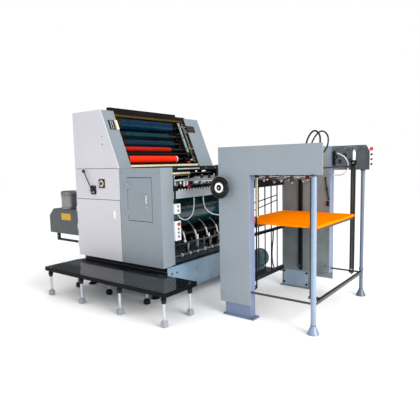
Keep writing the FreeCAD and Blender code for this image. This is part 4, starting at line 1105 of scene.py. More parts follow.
class PRESS_OT_end_bars(PieceMaker, bpy.types.Operator):
    """Cross bars of the delivery end with their clips, teeth and side box"""
    bl_idname = "press.end_bars"
    bl_label = "Delivery cross bars"

    def make(self):
        bars = Shape.copy_of("end_bars", 2.0)
        bars.paint(1, lambda c, n: c.z < 1060)
        bars.paint(2, lambda c, n: 1060 < c.z < 1150 and not 860 < c.y < 1000)
        for y in rows(200, 840, 160):
            bars.bolt((1235, y, 1256), X, 6, 3)
            bars.bolt((1235, y + 40, 1113), X, 5, 3)
        bars.block((1204, 172, 905), (1244, 199, 1062), 0, 3.0)
        bars.bolts(1240, (874, 986), (1195, 1262), X, 4, 3, False)
        bars.close("cross_bars", ["black_steel", "beam_grey", "dark_steel", "bright_steel"], "black_steel")
        self.teeth()
        self.clips()
        self.tapes()

    def teeth(self):
        teeth = Shape()
        for y in rows(262, 1150, 44):
            teeth.bar((1228, y, 1043), (1228, y, 1064), 17, 0, 4, end_radius=2.5)
            teeth.bar((1210, y + 22, 1045), (1210, y + 22, 1052), 7, 1, 16, 1.0)
        teeth.block((1204, 240, 1044), (1214, 1200, 1050), 1, 1.5)
        teeth.close("beam_teeth", ["white_box", "bright_steel"], "white_box")

    def clips(self):
        """Lay stops: pale blocks of uneven height over the toothed beam, and the rail above them."""
        clips = Shape()
        for y, low, high, half, number in CLIPS:
            clips.block((1234, y - half, low), (1247, y + half, high), number, 4.0)
            clips.bar((1240, y, 1072), (1240, y, low + 2), 3.5, 4, 14)
            clips.solid([(7, 0), (7, 8), (4, 10)], (1240, y, 1060), Z, 3, 18)
        for lean in (-30, 30):
            place = Matrix.Translation((1243, 389, 1066)) @ Matrix.Rotation(math.radians(lean), 4, "X")
            clips.block((-5, -7, -6), (5, 7, 38), 2, 3.5, place)
        for y in rows(190, 1240, 105):
            clips.bar((1228, y, 1150), (1228, y + 8, 1190), 3.5, 3 if int(y) % 2 else 1, 14)
        for y, half in ((507, 11), (628, 30), (650, 12), (930, 12)):
            clips.block((1240, y - half, 1216), (1249, y + half, 1232), 0, 4.0)
        clips.bar((1246, 230, 1252), (1246, 560, 1252), 6, 5, 24)
        clips.bar((1246, 176, 1144), (1246, 1269, 1180), 9, 5, 24)
        clips.close("lay_clips", ["white_box", "chrome", "red_plastic", "black_steel", "dark_steel",
                                  "beam_grey"], "white_box")

    def tapes(self):
        roller = Shape("tape_roller")
        axis = Vector((1190, 0, 1210))
        roller.bar(axis + Y * WALL_NEAR, axis + Y * WALL_FAR, 6, 1, 24)
        roller.turned([(5, 184), (10, 184), (11, 186), (11, 466), (10, 468), (5, 468)], axis, Y, 0, 40)
        for y in rows(540, 1220, 85):
            roller.turned([(5, y), (9, y), (11, y + 3), (11, y + 17), (9, y + 20), (5, y + 20)], axis, Y, 2,
                          32)
        roller.close("tape_roller_core", ["cream", "bright_steel", "rubber"], "bright_steel",
                     body="tape_roller")
        under = Shape()
        # A dark olive strip under the cream sleeve: painted shade on the roller's underside; the small blocks
        # at its ends are brackets.
        under.block((1180, 184, 1186), (1200, 470, 1194), 0, 2.0)
        for y in (176, 470):
            under.block((1178, y, 1182), (1202, y + 8, 1200), 1, 2.0)
        under.close("tape_underside_shade", ["cream_underside_shade", "dark_steel"], "bright_steel")


class PRESS_OT_feedboard(PieceMaker, bpy.types.Operator):
    """Board from the pile to the press, with its tapes and side guides"""
    bl_idname = "press.feedboard"
    bl_label = "Feedboard"

    def make(self):
        low, high = node_box("feedboard")
        board = Shape.copy_of("feedboard", 2.0)
        for y in rows(low.y + 110, high.y - 110, 120):
            board.block((low.x + 1, y - 12, high.z - 0.2), (high.x - 4, y + 12, high.z + 1.2), 1, 0.5)
        for y in (low.y + 18, high.y - 18):
            board.block((low.x + 30, y - 7, high.z - 1), (high.x - 40, y + 7, high.z + 16), 2, 2.5)
        for x in (low.x + 170, low.x + 420):
            board.bar((x, low.y + 4, high.z + 24), (x, high.y - 4, high.z + 24), 6, 2, 20)
            for y in rows(low.y + 110, high.y - 110, 120):
                board.sleeve(6, [(16, 0), (18, 2), (18, 12), (16, 14)], (x, y - 7, high.z + 24), Y, 3, 28)
            for y in (low.y + 4, high.y - 16):
                board.block((x - 10, y, high.z), (x + 10, y + 12, high.z + 32), 2, 2.0)
        board.close("feed_table", ["chrome", "cream", "bright_steel", "rubber"], "bright_steel")


class PRESS_OT_delivery(PieceMaker, bpy.types.Operator):
    """Impression cylinder, fingers, wheels and guide rods of the delivery"""
    bl_idname = "press.delivery"
    bl_label = "Delivery cylinder, fingers and wheels"

    def make(self):
        self.cylinder()
        fingers = Shape.copy_of("delivery_fingers", 1.5)
        fingers.paint(1, lambda c, n: c.z > 640 or (c.z < 540 and c.x > 1184.5))
        for y in (350, 530, 715, 900, 1085):
            fingers.block((1186, y - 8, 530), (1214, y + 22, 552), 1, 3.0)
            fingers.bolt((1213, y + 7, 541), X, 5, 2, False)
        fingers.close("finger_rail", ["white_box", "dark_steel", "chrome"], "bright_steel")
        self.wheels()
        self.guide_rods()
        self.inner_bars()

    def cylinder(self):
        axis, radius = axle("impression_cylinder")
        start, end = WALL_NEAR + 29, WALL_FAR - 29
        drum = Shape("impression_cylinder")
        # The drum's body takes the teal paint: painted sheen.
        drum.solid([(radius - 3, start), (radius, start + 3), (radius, start + 24), (radius - 4, start + 27),
                    (radius - 4, end - 27), (radius, end - 24), (radius, end - 3), (radius - 3, end)], axis,
                   Y, 0, 96)
        drum.solid([(35, WALL_NEAR), (35, start + 1)], axis, Y, 1, 40)
        drum.solid([(35, end - 1), (35, WALL_FAR)], axis, Y, 1, 40)
        for around in (0.35, math.pi + 0.35):
            turn = Matrix.Translation(axis) @ Matrix.Rotation(-around, 4, "Y")
            drum.block((radius - 12, start + 34, -14), (radius - 2, end - 34, 14), 1, 2.0, turn)
            for y in rows(start + 60, end - 60, 62):
                drum.block((radius - 4, y - 9, -10), (radius - 0.5, y + 9, 6), 2, 1.0, turn)
        drum.close("cylinder_drum", ["cylinder_teal_sheen", "bright_steel", "brass"], "bright_steel",
                   body="impression_cylinder")

    def wheels(self):
        axis, _ = axle("delivery_wheels")
        shaft = Shape("delivery_wheels")
        shaft.bar(axis + Y * WALL_NEAR, axis + Y * WALL_FAR, 9, 0, 28)
        for number in range(7):
            y = 360 + 125 * number
            shaft.sleeve(18, [(22, y - 5), (24, y - 3), (24, y + 3), (22, y + 5)], axis, Y, 2, 36)
            shaft.sleeve(9, [(16, y - 12), (19, y - 9), (19, y + 9), (16, y + 12)], axis, Y, 1, 36)
            shaft.bar(axis + Y * (y + 11), axis + Y * (y + 17), 13, 0, 24, 1.0)
        shaft.close("wheel_shaft", ["bright_steel", "white_box", "rubber"], "bright_steel",
                    body="delivery_wheels")

    def guide_rods(self):
        rods = Shape()
        for number in range(6):
            y = 422 + 125 * number
            rods.bent_rod([(1206, y, 524), (1200, y, 480), (1178, y + 6, 430), (1140, y + 14, 372),
                           (1120, y + 18, 345)], 4, 0)
        for y in (385, 544, 747, 950, 1120):
            rods.bar((1206, y + 14, 524), (1206, y + 14, 440), 4, 0, 16)
            rods.sleeve(4, [(13, -7), (15, -4), (15, 4), (13, 7)], (1206, y, 440), Y, 2, 28)
            rods.bar((1206, y - 8, 440), (1206, y + 20, 440), 4, 0, 16)
        for y in rows(245, 1215, 97):
            rods.block((1211, y - 12, 536), (1224, y + 12, 560 + int(y) % 3 * 14), 2 if int(y) % 2 else 1,
                       3.0)
        rods.close("guide_rods", ["bright_steel", "white_box", "dark_steel"], "bright_steel")

    def inner_bars(self):
        """Cross bars and brackets behind the fingers, and a black strip over the base: painted shade in the
        gap under the covers.
        """
        inner = Shape()
        for x, z, radius in ((1120, 600, 14), (1060, 480, 18), (1150, 880, 12), (1040, 1130, 16)):
            inner.bar((x, FACE_NEAR, z), (x, FACE_FAR, z), radius, 0, 28)
            for y in (FACE_NEAR, FACE_FAR - 12):
                inner.solid([(radius + 12, 0), (radius + 12, 8), (radius + 8, 12)], (x, y, z), Y, 1, 28)
        for y in rows(300, 1150, 142):
            inner.block((1108, y - 9, 560), (1132, y + 9, 640), 1, 4.0)
            inner.bolt((1132, y, 622), X, 5, 0)
            inner.block((1142, y - 14, 862), (1160, y + 14, 898), 1, 3.0)
        # Black strip over the base: painted shade in the gap under the covers.
        inner.block((1196, 64, 337), (1239, 1483, 349), 2, 2.0)
        inner.close("inner_bars", ["dark_steel", "rubber", "black_steel"], "bright_steel")


class PRESS_OT_button_boxes(PieceMaker, bpy.types.Operator):
    """White push button boxes at the delivery end and on the feeder's far arm"""
    bl_idname = "press.button_boxes"
    bl_label = "Button boxes"

    def make(self):
        boxes = Shape.copy_of("control_boxes", 4.0, segments=3)
        for z, radius, number in ((902, 8, 1), (862, 8, 1), (690, 9, 1), (655, 9, 4), (618, 9, 1)):
            self.button(boxes, (1262, 199, z), X, radius, number)
        for z, number in ((1350, 1), (1305, 4), (1262, 1)):
            self.button(boxes, (2724, 1230, z), -Y, 9, number)
        self.mushroom(boxes, (1262, 199, 736), X)
        self.mushroom(boxes, (2724, 1230, 1400), -Y)
        boxes.bar((1248, 199, 765), (1248, 199, 832), 6, 5, 18)
        boxes.close("button_boxes", ["white_box", "rubber", "red_plastic", "chrome", "pump_green",
                                     "hose_black"], "white_box")

    def button(self, shape, place, out, radius, number):
        shape.solid([(radius + 3, -1), (radius + 3, 1.5), (radius + 1, 2.5)], place, out, 3, 28)
        shape.solid([(radius, 2), (radius, 5), (radius - 1.5, 6)], place, out, number, 28)

    def mushroom(self, shape, place, out):
        shape.solid([(15, -1), (15, 2), (11, 3), (9, 9)], place, out, 1, 28)
        shape.turned([(0, 8), (14, 8), (17, 11), (16.5, 15), (11, 19), (0, 20.5)], place, out, 2, 32)


# ---------------------------------------------------------------- drive, footboard and base

class PRESS_OT_drive(PieceMaker, bpy.types.Operator):
    """Drive housing at the left end, its motor and the bracket under it"""
    bl_idname = "press.drive"
    bl_label = "Drive"

    def make(self):
        low, high = node_box("drive_housing")
        housing = Shape.copy_of("drive_housing", 5.0, segments=3)
        for x in (low.x + 130, low.x + 500, high.x - 60):
            housing.bolt((x, low.y, high.z - 24), -Y, 5, 1, True, 12)
            housing.bolt((x, low.y, low.z + 24), -Y, 5, 1, True, 12)
        housing.block((-671, low.y - 1.2, 650), (-487, low.y + 1, 730), 2, 0.5)
        housing.close("drive_case", ["drive_grey", "dark_steel", "marker"], "drive_grey")
        self.motor()
        bracket = Shape.copy_of("drive_bracket", 2.0)
        bracket.bolts((-780, -280), (260, 665), 438, -Y, 6, 1)
        bracket.close("drive_rails", ["black_steel", "bright_steel"], "black_steel")

    def motor(self):
        low, high = node_box("drive_motor")
        centre = (low + high) / 2
        radius, height = (high.x - low.x) / 2, high.z - low.z
        profile = [(0, 0.2), (radius - 2, 0.2), (radius, 2), (radius, 14), (radius - 4, 16)]
        for rise in rows(22, height - 62, size("fin_pitch")):
            profile += [(radius - 5, rise), (radius - 3.5, rise + 1.5), (radius - 3.5, rise + 4.5),
                        (radius - 5, rise + 6)]
        profile += [(radius - 5, height - 54), (radius, height - 52), (radius, height - 46),
                    (radius - 2.5, height - 44), (radius - 2.5, height - 40), (radius, height - 38),
                    (radius, height - 20), (radius - 3, height - 9), (radius - 12, height - 2),
                    (radius - 22, height - 0.3), (0, height - 0.3)]
        motor = Shape("drive_motor")
        motor.turned(profile, (centre.x, centre.y, low.z), Z, 0, 72)
        for rise, thick in ((12, 2.5), (height - 58, 2.2), (height - 42, 2.2), (height - 24, 1.8)):
            motor.ring((centre.x, centre.y, low.z + rise), Z, radius - 2.2 - thick * 0.4, thick, 1, 72, 8)
        motor.block((centre.x - 38, high.y - 14, low.z + 60), (centre.x + 38, high.y + 20, low.z + 128), 1,
                    5.0, segments=3)
        for x in (-28, 28):
            for z in (68, 120):
                motor.bolt((centre.x + x, high.y + 20, low.z + z), Y, 3, 2, False)
        motor.solid([(9, 0), (9, 10), (7, 12)], (centre.x, high.y + 3, low.z + 60), -Z, 1, 20)
        motor.bolt_ring(Vector((centre.x, centre.y, high.z - 3.2)), "Z", radius - 16, 4, 0.7, Z, 3, 2, False)
        motor.close("motor_body", ["motor_metal", "drive_grey", "bright_steel"], "drive_grey")


class PRESS_OT_footboard(PieceMaker, bpy.types.Operator):
    """Black step along the operator's side with its grooved tread"""
    bl_idname = "press.footboard"
    bl_label = "Footboard"

    def make(self):
        low, high = node_box("footboard")
        back = -21.0
        board = Shape.copy_of("footboard", 3.0)
        board.paint(1, lambda c, n: n.z < 0.6)
        board.close("footboard_deck", ["tread_black", "edge_black"], "black_steel")
        ribs = Shape()
        pitch = size("tread_pitch")
        height = size("tread_height")
        for x in rows(low.x + pitch, high.x - pitch, pitch):
            ribs.block((x - pitch * 0.3, low.y + 12, high.z - 1),
                       (x + pitch * 0.3, back - 10, high.z + height), 0, height * 0.45, segments=1)
        ribs.close("footboard_tread", ["tread_black"], "black_steel")
        self.legs()

    def legs(self):
        legs = Shape("footboard_legs")
        top = node_box("footboard_legs")[1].z
        for x in (44, 540, 1074, 1598):
            for y in (-390, -63):
                # Back legs under the board take black feet: painted shade under it; the front legs and the
                # end legs have silver feet.
                pale = y < -100 or x > 1500
                foot, stem = (2, 0) if pale else (1, 0)
                legs.block((x - 25, y - 25, 0), (x + 25, y + 25, 48), foot, 9, segments=3)
                legs.solid([(21, 40), (21, 49), (17, 53), (14, 60)], (x, y, 0), Z, foot, 32)
                legs.solid([(11.5, 50), (11.5, top - 30)], (x, y, 0), Z, stem, 32)
                legs.solid([(17, top - 36), (20, top - 33), (20, top - 12), (24, top - 9), (24, top)],
                           (x, y, 0), Z, 1, 32)
        legs.close("footboard_legs_turned", ["leg_silver", "black_steel", "foot_silver"], "leg_silver")


class PRESS_OT_base(PieceMaker, bpy.types.Operator):
    """Base beam and the levelling feet under it"""
    bl_idname = "press.base"
    bl_label = "Base"

    def make(self):
        low, high = node_box("base_frame")
        base = Shape.copy_of("base_frame", 4.0, segments=3)
        base.bolts(high.x, (low.y + 60, low.y + 130, high.y - 60, high.y - 130), (150, 270), X, 8, 1)
        base.block((high.x - 1, low.y + 30, 232), (high.x + 1.6, low.y + 62, 242), 2, 0.5)
        # Black strip along the top of the near face: painted shade in the gap under the covers.
        base.block((low.x + 6, low.y - 0.4, 295), (high.x - 6, low.y + 4, high.z - 0.5), 2, 0.3)
        base.close("base_casting", ["base_paint", "dark_steel", "black_steel"], "base_paint")
        feet = Shape("press_feet")
        for x in (66, 1020):
            for y in (low.y + 48, high.y - 48):
                feet.solid([(43, 0), (45, 2), (45, 9), (30, 17), (27, 22)], (x, y, 0), Z, 0, 40)
                feet.solid([(17, 20), (17, 81)], (x, y, 0), Z, 1, 24)
                for low_z, high_z in ((34, 46), (66, 81)):
                    feet.bar((x, y, low_z), (x, y, high_z), 27, 1, 6, 1.5)
        feet.close("levelling_feet", ["black_steel", "dark_steel"], "black_steel")


# ---------------------------------------------------------------- feeder

class PRESS_OT_feeder_covers(PieceMaker, bpy.types.Operator):
    """Sheet covers on both sides of the feeder"""
    bl_idname = "press.feeder_covers"
    bl_label = "Feeder covers"

    def make(self):
        Shape.copy_of("near_arm_cover").close("near_arm_sheet", ["grey_blue_panel"], "grey_blue_panel")
        far = Shape.copy_of("far_arm_cover")
        far.paint(1, lambda c, n: n.x > 0.9 and c.z < 1209)
        far.close("far_arm_sheet", ["grey_blue_panel", "grey_blue_frame"], "grey_blue_panel")
        screws = Shape()
        far_face = node_box("far_arm_cover")[1].y
        screws.bolts(rows(1860, 2640, 260), far_face, (1240, 1412), Y, 4.5, 0, True, 12)
        screws.bolts((1860, 2320), far_face, (160, 640, 1100), Y, 4.5, 0, True, 12)
        screws.close("far_cover_screws", ["bright_steel"], "bright_steel")


class PRESS_OT_columns(PieceMaker, bpy.types.Operator):
    """Columns, arms, feet, posts and tie bars of the feeder"""
    bl_idname = "press.columns"
    bl_label = "Feeder columns"

    def make(self):
        near = Shape.copy_of("near_column", 2.5)
        # Faces under the arm take the near-black paint: painted shade under it.
        near.paint(1, lambda c, n: c.z > 1195 and n.z < -0.7)
        for x in (1835, 2106):
            near.bolt((x - 2, 128, 12), Z, 7, 2)
        near.close("near_column_casting", ["grey_blue_frame", "painted_shade_inside", "dark_steel"],
                   "grey_blue_frame")
        far = Shape.copy_of("far_column", 2.5)
        far.paint(1, lambda c, n: c.x > 2347 and c.z > 1205)
        # The chain slot's inner faces take black: painted shade in the slot.
        far.paint(2, lambda c, n: abs(c.x - 2040) < 25 and 1193.5 < c.y < 1212)
        far.paint(3, lambda c, n: n.x > 0.9 and c.z < 1209)
        far.bolts((1862, 2112), 1189, (42, 160), -Y, 11, 4, False, 20)
        far.bolts(2310, 1193, (260, 640, 1020), -Y, 6, 4, False)
        far.block((1852, 1189, 3), (2122, 1195, 176), 6, 2.0)
        far.block((2347, 1247, 1404), (2655, 1258, 1430), 1, 3.0)
        far.bolts(rows(2400, 2620, 55), 1247, 1417, -Y, 6, 5, False)
        far.close("far_column_casting", ["column_grey", "arm_grey", "black_steel", "grey_blue_frame",
                                         "wheel_black", "dark_steel", "foot_grey"], "grey_blue_frame")
        self.posts()
        Shape.copy_of("tie_bars", 1.5).close("tie_rails", ["dark_steel"], "black_steel")

    def posts(self):
        posts = Shape("outer_posts")
        for y, radius, top in ((134, 20, 1199), (1270, 17.5, 1210)):
            # The far post takes a half-bright copy of the post paint: painted shade.
            paint = 0 if y < 600 else 2
            posts.solid([(44, 0), (46, 2.5), (46, 6), (radius + 4, 58), (radius + 1, 64), (radius, 68),
                         (radius, top)], (POST_X, y, 0), Z, paint, 48)
            posts.ring((POST_X, y, 70), Z, radius, 2.4, 1, 40, 8)
            posts.sleeve(radius - 2, [(radius + 4, 0), (radius + 4, 18), (radius + 2, 20)], (POST_X, y, 252),
                         Z, paint, 40)
            posts.sleeve(radius - 2, [(radius + 5, 0), (radius + 5, 10)], (POST_X, y, top - 10), Z, 1, 40)
        posts.close("posts_turned", ["post_paint", "dark_steel", "far_post_shade"], "post_paint")


class PRESS_OT_handwheel(PieceMaker, bpy.types.Operator):
    """Black handwheel on the feeder's near side"""
    bl_idname = "press.handwheel"
    bl_label = "Handwheel"

    def make(self):
        centre = Vector((1844, 60, 1097))
        wheel = Shape("handwheel")
        wheel.turned([(79 + 13 * math.cos(a),
                       13 * math.sin(a)) for a in (math.tau * i / 20 for i in range(20))], centre, -Y, 0, 72,
                     closed=True)
        wheel.solid([(60, -6), (67, -4.5), (68, 0), (67, 4.5), (60, 6), (48, 5), (42, 5), (42, 9)], centre,
                    -Y, 0, 64)
        wheel.solid([(33, -18), (34, -16), (34, 0)], centre, -Y, 3, 48)
        wheel.turned([(25, 8), (41, 8), (42, 10), (41, 12.5), (39, 13.5), (27, 13.5), (25, 12)], centre, -Y,
                     1, 64, closed=True)
        wheel.solid([(25, 8), (25, 10), (14, 11), (13, 13), (9, 13.4)], centre, -Y, 0, 48)
        wheel.turned([(0, 12), (5, 12), (5, 13.8), (0, 14)], centre, -Y, 1, 24)
        wheel.bar(centre + Y * 10, (1844, 122.7, 1097), 12, 3, 28)
        grip = centre + Vector((48, 0, -22))
        wheel.turned([(0, 4), (6, 4), (6, 9), (4.5, 12), (6, 18), (6.4, 25), (5, 29), (0, 30)], grip, -Y, 3,
                     28)
        wheel.close("handwheel_turned", ["wheel_black", "white_box", "dark_steel", "bright_steel"],
                    "wheel_black", body="handwheel")


class PRESS_OT_pile_board(PieceMaker, bpy.types.Operator):
    """Orange board on its carrier bars"""
    bl_idname = "press.pile_board"
    bl_label = "Pile board"

    def make(self):
        low, high = node_box("pile_board")
        board = Shape.copy_of("pile_board", 2.0)
        board.paint(1, lambda c, n: c.z < high.z - 23 or n.z < -0.5)
        for x in CHAIN_X:
            board.bolts(x, rows(high.y - 820, high.y - 90, 240), low.z, -Z, 6, 2)
            board.bolts(x + 15, (low.y + 8, high.y - 40), low.z + 15, X, 6, 2)
        board.close("pile_board_deck", ["board_orange", "board_edge", "dark_steel"], "board_orange",
                    body="pile_board")


class PRESS_OT_lift(PieceMaker, bpy.types.Operator):
    """Lifting chains, link by link, and the shafts with their wheels"""
    bl_idname = "press.lift"
    bl_label = "Pile lift"

    def make(self):
        chains = Shape("lift_chains")
        low, high = node_box("lift_chains")
        top, bottom = high.z - 19, low.z + 19
        for x, y in zip((*CHAIN_X, *CHAIN_X), (290, 290, 1186, 1222)):
            self.chain(chains, x, y, bottom, top)
        chains.close("chain_links", ["chain_steel"], "bright_steel")
        shafts = Shape.copy_of("lift_shafts", 0.0)
        for x, start, end in zip(CHAIN_X, (203, 173), (1211, 1255)):
            for y, inward in ((start, Y), (end, -Y)):
                shafts.sleeve(9, [(24, 0), (24, 6), (18, 10)], (x, y, SHAFT_Z), inward, 1, 32)
        shafts.block((2533, 1229, 256), (2581, 1234, 1216), 2, 1.5)
        for z in (262, 1192):
            shafts.block((2541, 1230, z), (2573, 1252, z + 18), 2, 2.0)
        shafts.close("shafts_and_wheels", ["dark_steel", "casting", "channel_grey"], "bright_steel")

    def chain(self, shape, x, y, bottom, top):
        """One closed chain: two straight runs and a half turn at each end."""
        radius, run = 15.0, top - bottom
        bend = math.pi * radius
        total = 2 * run + 2 * bend
        count = round(total / size("chain_pitch"))
        for number in range(count):
            along = total * number / count
            if along < run:
                place, tilt = Vector((x - radius, y, bottom + along)), 0.0
            elif along < run + bend:
                tilt = (along - run) / radius
                place = Vector((x - radius * math.cos(tilt), y, top + radius * math.sin(tilt)))
            elif along < 2 * run + bend:
                place, tilt = Vector((x + radius, y, top - (along - run - bend))), math.pi
            else:
                tilt = math.pi + (along - 2 * run - bend) / radius
                place = Vector((x - radius * math.cos(tilt), y, bottom + radius * math.sin(tilt)))
            spot = Matrix.Translation(place) @ Matrix.Rotation(tilt, 4, "Y")
            wide = 4.2 if number % 2 else 2.6
            for side in (-wide, wide):
                shape.block((-5, side - 0.7, -4), (5, side + 0.7, total / count + 4), 0, 0, spot)
            shape.bar((0, -5, 0), (0, 5, 0), 1.9, 0, 6, 0, spot)
            shape.bar((0, -2, 0), (0, 2, 0), 3.2, 0, 8, 0, spot)


class PRESS_OT_pile_stops(PieceMaker, bpy.types.Operator):
    """Black grille that stops the pile, and the rod on the far column"""
    bl_idname = "press.pile_stops"
    bl_label = "Pile stops"

    def make(self):
        grille = Shape.copy_of("pile_grille", 1.2)
        for z in (196, 623, 1100):
            for y in rows(320, 1070, 125):
                grille.bolt((1853, y, z), X, 4, 1, False)
                grille.sleeve(6, [(9, -16), (9, -13)], (1840, y, z), Z, 0, 16)
        grille.close("stop_bars", ["black_steel", "dark_steel"], "black_steel")
        rod = Shape()
        upper, lower = Vector((2303, 1184, 1135)), Vector((2338, 1184, 930))
        rod.bar(upper, lower, 5.5, 0, 20)
        for end in (upper, lower):
            rod.solid([(10, 0), (10, 4), (7, 9)], (end.x, 1193, end.z), -Y, 0, 24)
        middle = (upper + lower) / 2
        rod.solid([(9, -12), (9, 12)], middle, (lower - upper).normalized(), 0, 24)
        rod.block((2318, 1178, 862), (2344, 1193, 912), 0, 3.0)
        rod.close("height_rod", ["black_steel"], "black_steel")
        gauge = Shape()
        gauge.block((2064, 262, 838), (2084, 271, 1200), 0, 2.0)
        gauge.block((2060, 258, 1172), (2088, 276, 1200), 1, 2.5)
        gauge.bar((2074, 254, 846), (2074, 262, 846), 6, 1, 20, 1.0)
        gauge.close("height_gauge", ["cream", "dark_steel"], "bright_steel")


class PRESS_OT_pump(PieceMaker, bpy.types.Operator):
    """Air pump with its finned motor, on the shelf behind the pile stops"""
    bl_idname = "press.pump"
    bl_label = "Pump"

    def make(self):
        x, z, start = 1700.0, 326.0, 660.0
        axis = Vector((x, 0, z))
        pump = Shape("pump")
        pump.block((1597, 620, 204), (1827, 1030, 216), 3, 2.0)
        profile = [(0, start + 0.5), (78, start + 0.5), (88, start + 4), (90, start + 20)]
        for y in rows(start + 26, start + 170, size("fin_pitch")):
            profile += [(80, y), (91.5, y + 1), (91.5, y + 4), (80, y + 5)]
        profile += [(84, start + 178), (92, start + 182), (92, start + 208), (86, start + 212),
                    (86, start + 292), (92, start + 296), (92, start + 322), (84, start + 329.5),
                    (0, start + 329.5)]
        pump.turned(profile, axis, Y, 0, 64)
        pump.solid([(30, start - 30), (50, start - 24), (50.5, start)], axis, Y, 1, 40)
        pump.bolt_ring(axis + Y * (start + 2), "Y", 70, 6, 0, -Y, 5, 2)
        pump.block((x - 60, start + 40, 216), (x + 60, start + 290, 250), 0, 5.0, segments=3)
        pump.block((x - 36, start + 60, z + 82), (x + 36, start + 140, z + 91), 1, 4.0)
        for y in (start + 225, start + 272):
            pump.solid([(14, -92), (14, -80), (10, -76), (10, -62)], axis + Y * y, -X, 2, 24)
        pump.bolts((1612, 1790), (640, 1010), 216, Z, 6, 2)
        pump.close("pump_body", ["pump_green", "drive_grey", "bright_steel", "black_steel"], "pump_green")


class PRESS_OT_suction_head(PieceMaker, bpy.types.Operator):
    """Head over the pile with its suckers, valves, knobs and cross bars"""
    bl_idname = "press.suction_head"
    bl_label = "Suction head"

    def make(self):
        head = Shape.copy_of("suction_head", 2.0)
        head.paint(1, lambda c, n: c.y < 612 or c.y > 808)
        for x in (2094, 2236):
            for y in (644, 776):
                head.turned([(9, 0), (12, 0), (12, 8), (9, 10)], (x, y, 1172), Z, 2, 28, closed=True)
                head.solid([(10, 0), (17, -6), (19, -12), (17, -12), (8, -4)], (x, y, 1157), Z, 3, 32)
                head.spring(Matrix.Translation((x, y, 1158)), 11, 30, 5, 1.4, 2)
        for y in (640, 690, 740, 785):
            head.solid([(9, 0), (9, 5), (13, 6), (13, 16), (10, 18)], (2260, y, 1268), X, 2, 24)
            head.bolt((2070, y, 1250), -X, 7, 2)
        for y in (235, 420, 560, 860, 980, 1120):
            head.block((2148, y - 12, 1300), (2182, y + 12, 1362), 4, 4.0)
            head.bar((2165, y, 1362), (2165, y, 1392), 6, 2, 20, 1.5)
            head.solid([(13, 0), (13, 9), (10, 12)], (2165, y, 1388), Z, 5, 24)
        head.close("suction_head_body", ["casting", "bright_steel", "dark_steel", "rubber", "black_steel",
                                         "wheel_black"], "black_steel")
        self.under_arm_gear()

    def under_arm_gear(self):
        """Valves, levers and joints that hang under the near arm and beside the far one."""
        gear = Shape()
        for index, x in enumerate(rows(2130, 2600, 42)):
            drop = (24, 46, 34, 58)[index % 4]
            y = 180 + (index * 37) % 60
            gear.block((x - 13, y - 12, 1199 - drop), (x + 13, y + 12, 1205), index % 4, 4.0)
            gear.solid([(8, 0), (8, 8), (5, 11)], (x, y, 1199 - drop), -Z, 4, 20)
        gear.bar((2110, 196, 1186), (2610, 196, 1186), 6, 4, 20)
        gear.bent_rod([(2140, 214, 1190), (2200, 240, 1160), (2290, 236, 1150), (2380, 246, 1166),
                       (2450, 214, 1190)], 4.5, 2)
        gear.bent_rod([(2300, 210, 1192), (2350, 230, 1172), (2440, 232, 1168), (2520, 214, 1190)], 3.5, 5)
        for x, y, z in ((2380, 1240, 1335), (2420, 1238, 1290), (2470, 1240, 1350), (2520, 1244, 1300)):
            gear.solid([(16, 0), (16, 10), (11, 14)], (x, 1255, z), -Y, 0, 28)
            gear.bolt((x, 1242, z), -Y, 6, 4, False)
        gear.block((2356, 1236, 1250), (2376, 1256, 1390), 0, 3.0)
        for x, y, radius, low in ((2100, 1130, 26, 1122), (2150, 1080, 20, 1138), (2196, 1150, 24, 1116),
                                  (2128, 1010, 18, 1150), (2232, 1060, 16, 1144)):
            gear.solid([(radius - 4, 0), (radius, 4), (radius, 22), (radius - 5, 27), (8, 28),
                        (8, 1185 - low)], (x, y, low), Z, 0, 32)
        gear.close("valve_gear", ["black_steel", "casting", "copper_brown", "dark_steel", "bright_steel",
                                  "hose_white"], "black_steel")


class PRESS_OT_pile_feeler(PieceMaker, bpy.types.Operator):
    """Feeler on the far arm: curved arm, white cylinder and black presser foot"""
    bl_idname = "press.pile_feeler"
    bl_label = "Pile feeler"

    def make(self):
        x, y = 2560.0, 1150.0
        feeler = Shape("pile_feeler")
        feeler.bar((x, y - 2, 1412), (x, 1255, 1412), 12, 0, 32, 1.5)
        feeler.solid([(19, 0), (19, 8), (16, 11)], (x, y + 2, 1412), -Y, 0, 36)
        arc = [(x - 76, 1396), (x - 60, 1416), (x - 30, 1428), (x, 1431.5), (x + 34, 1427), (x + 54, 1412),
               (x + 59, 1394), (x + 46, 1393), (x + 40, 1404), (x + 22, 1412), (x, 1415), (x - 24, 1411),
               (x - 50, 1398), (x - 64, 1393)]
        feeler.plate(arc, y - 20, y + 8, 0, 1.5)
        spring_x, spring_y = x + 30, y - 6
        feeler.solid([(11, 0), (13, 2), (13, 76), (11, 78), (11, 86), (7, 88), (7, 96)],
                     (spring_x, spring_y, 1300), Z, 1, 32)
        feeler.ring((spring_x, spring_y, 1316), Z, 12.4, 1.4, 3, 32, 8)
        feeler.plate([(x + 7, 1300), (x + 51, 1300), (x + 51, 1262), (x + 40, 1241), (x + 18, 1241),
                      (x + 7, 1262)], y - 24, y + 8, 2, 3.0)
        feeler.bolt((x + 29, y - 24, 1276), -Y, 8, 0)
        feeler.close("feeler_arm", ["casting", "white_box", "wheel_black", "bright_steel"], "bright_steel")


# ---------------------------------------------------------------- stage

# Name, place and aim in metres, width in metres and power in watts of each light.
SOFTBOXES = (
    ("key", (0.0, -6.5, 5.2), (0.1, 0.0, 0.8), 5.0, 60),
    ("fill", (7.6, -1.9, 3.0), (0.6, 0.0, 0.8), 4.0, 520),
    ("back", (-3.5, 5.5, 5.5), (0.0, 0.3, 0.9), 4.0, 60),
)
# Strength of the surroundings as light, and as what the surfaces mirror.
SKY_LIGHT, SKY_MIRRORED = 1.0, 0.25
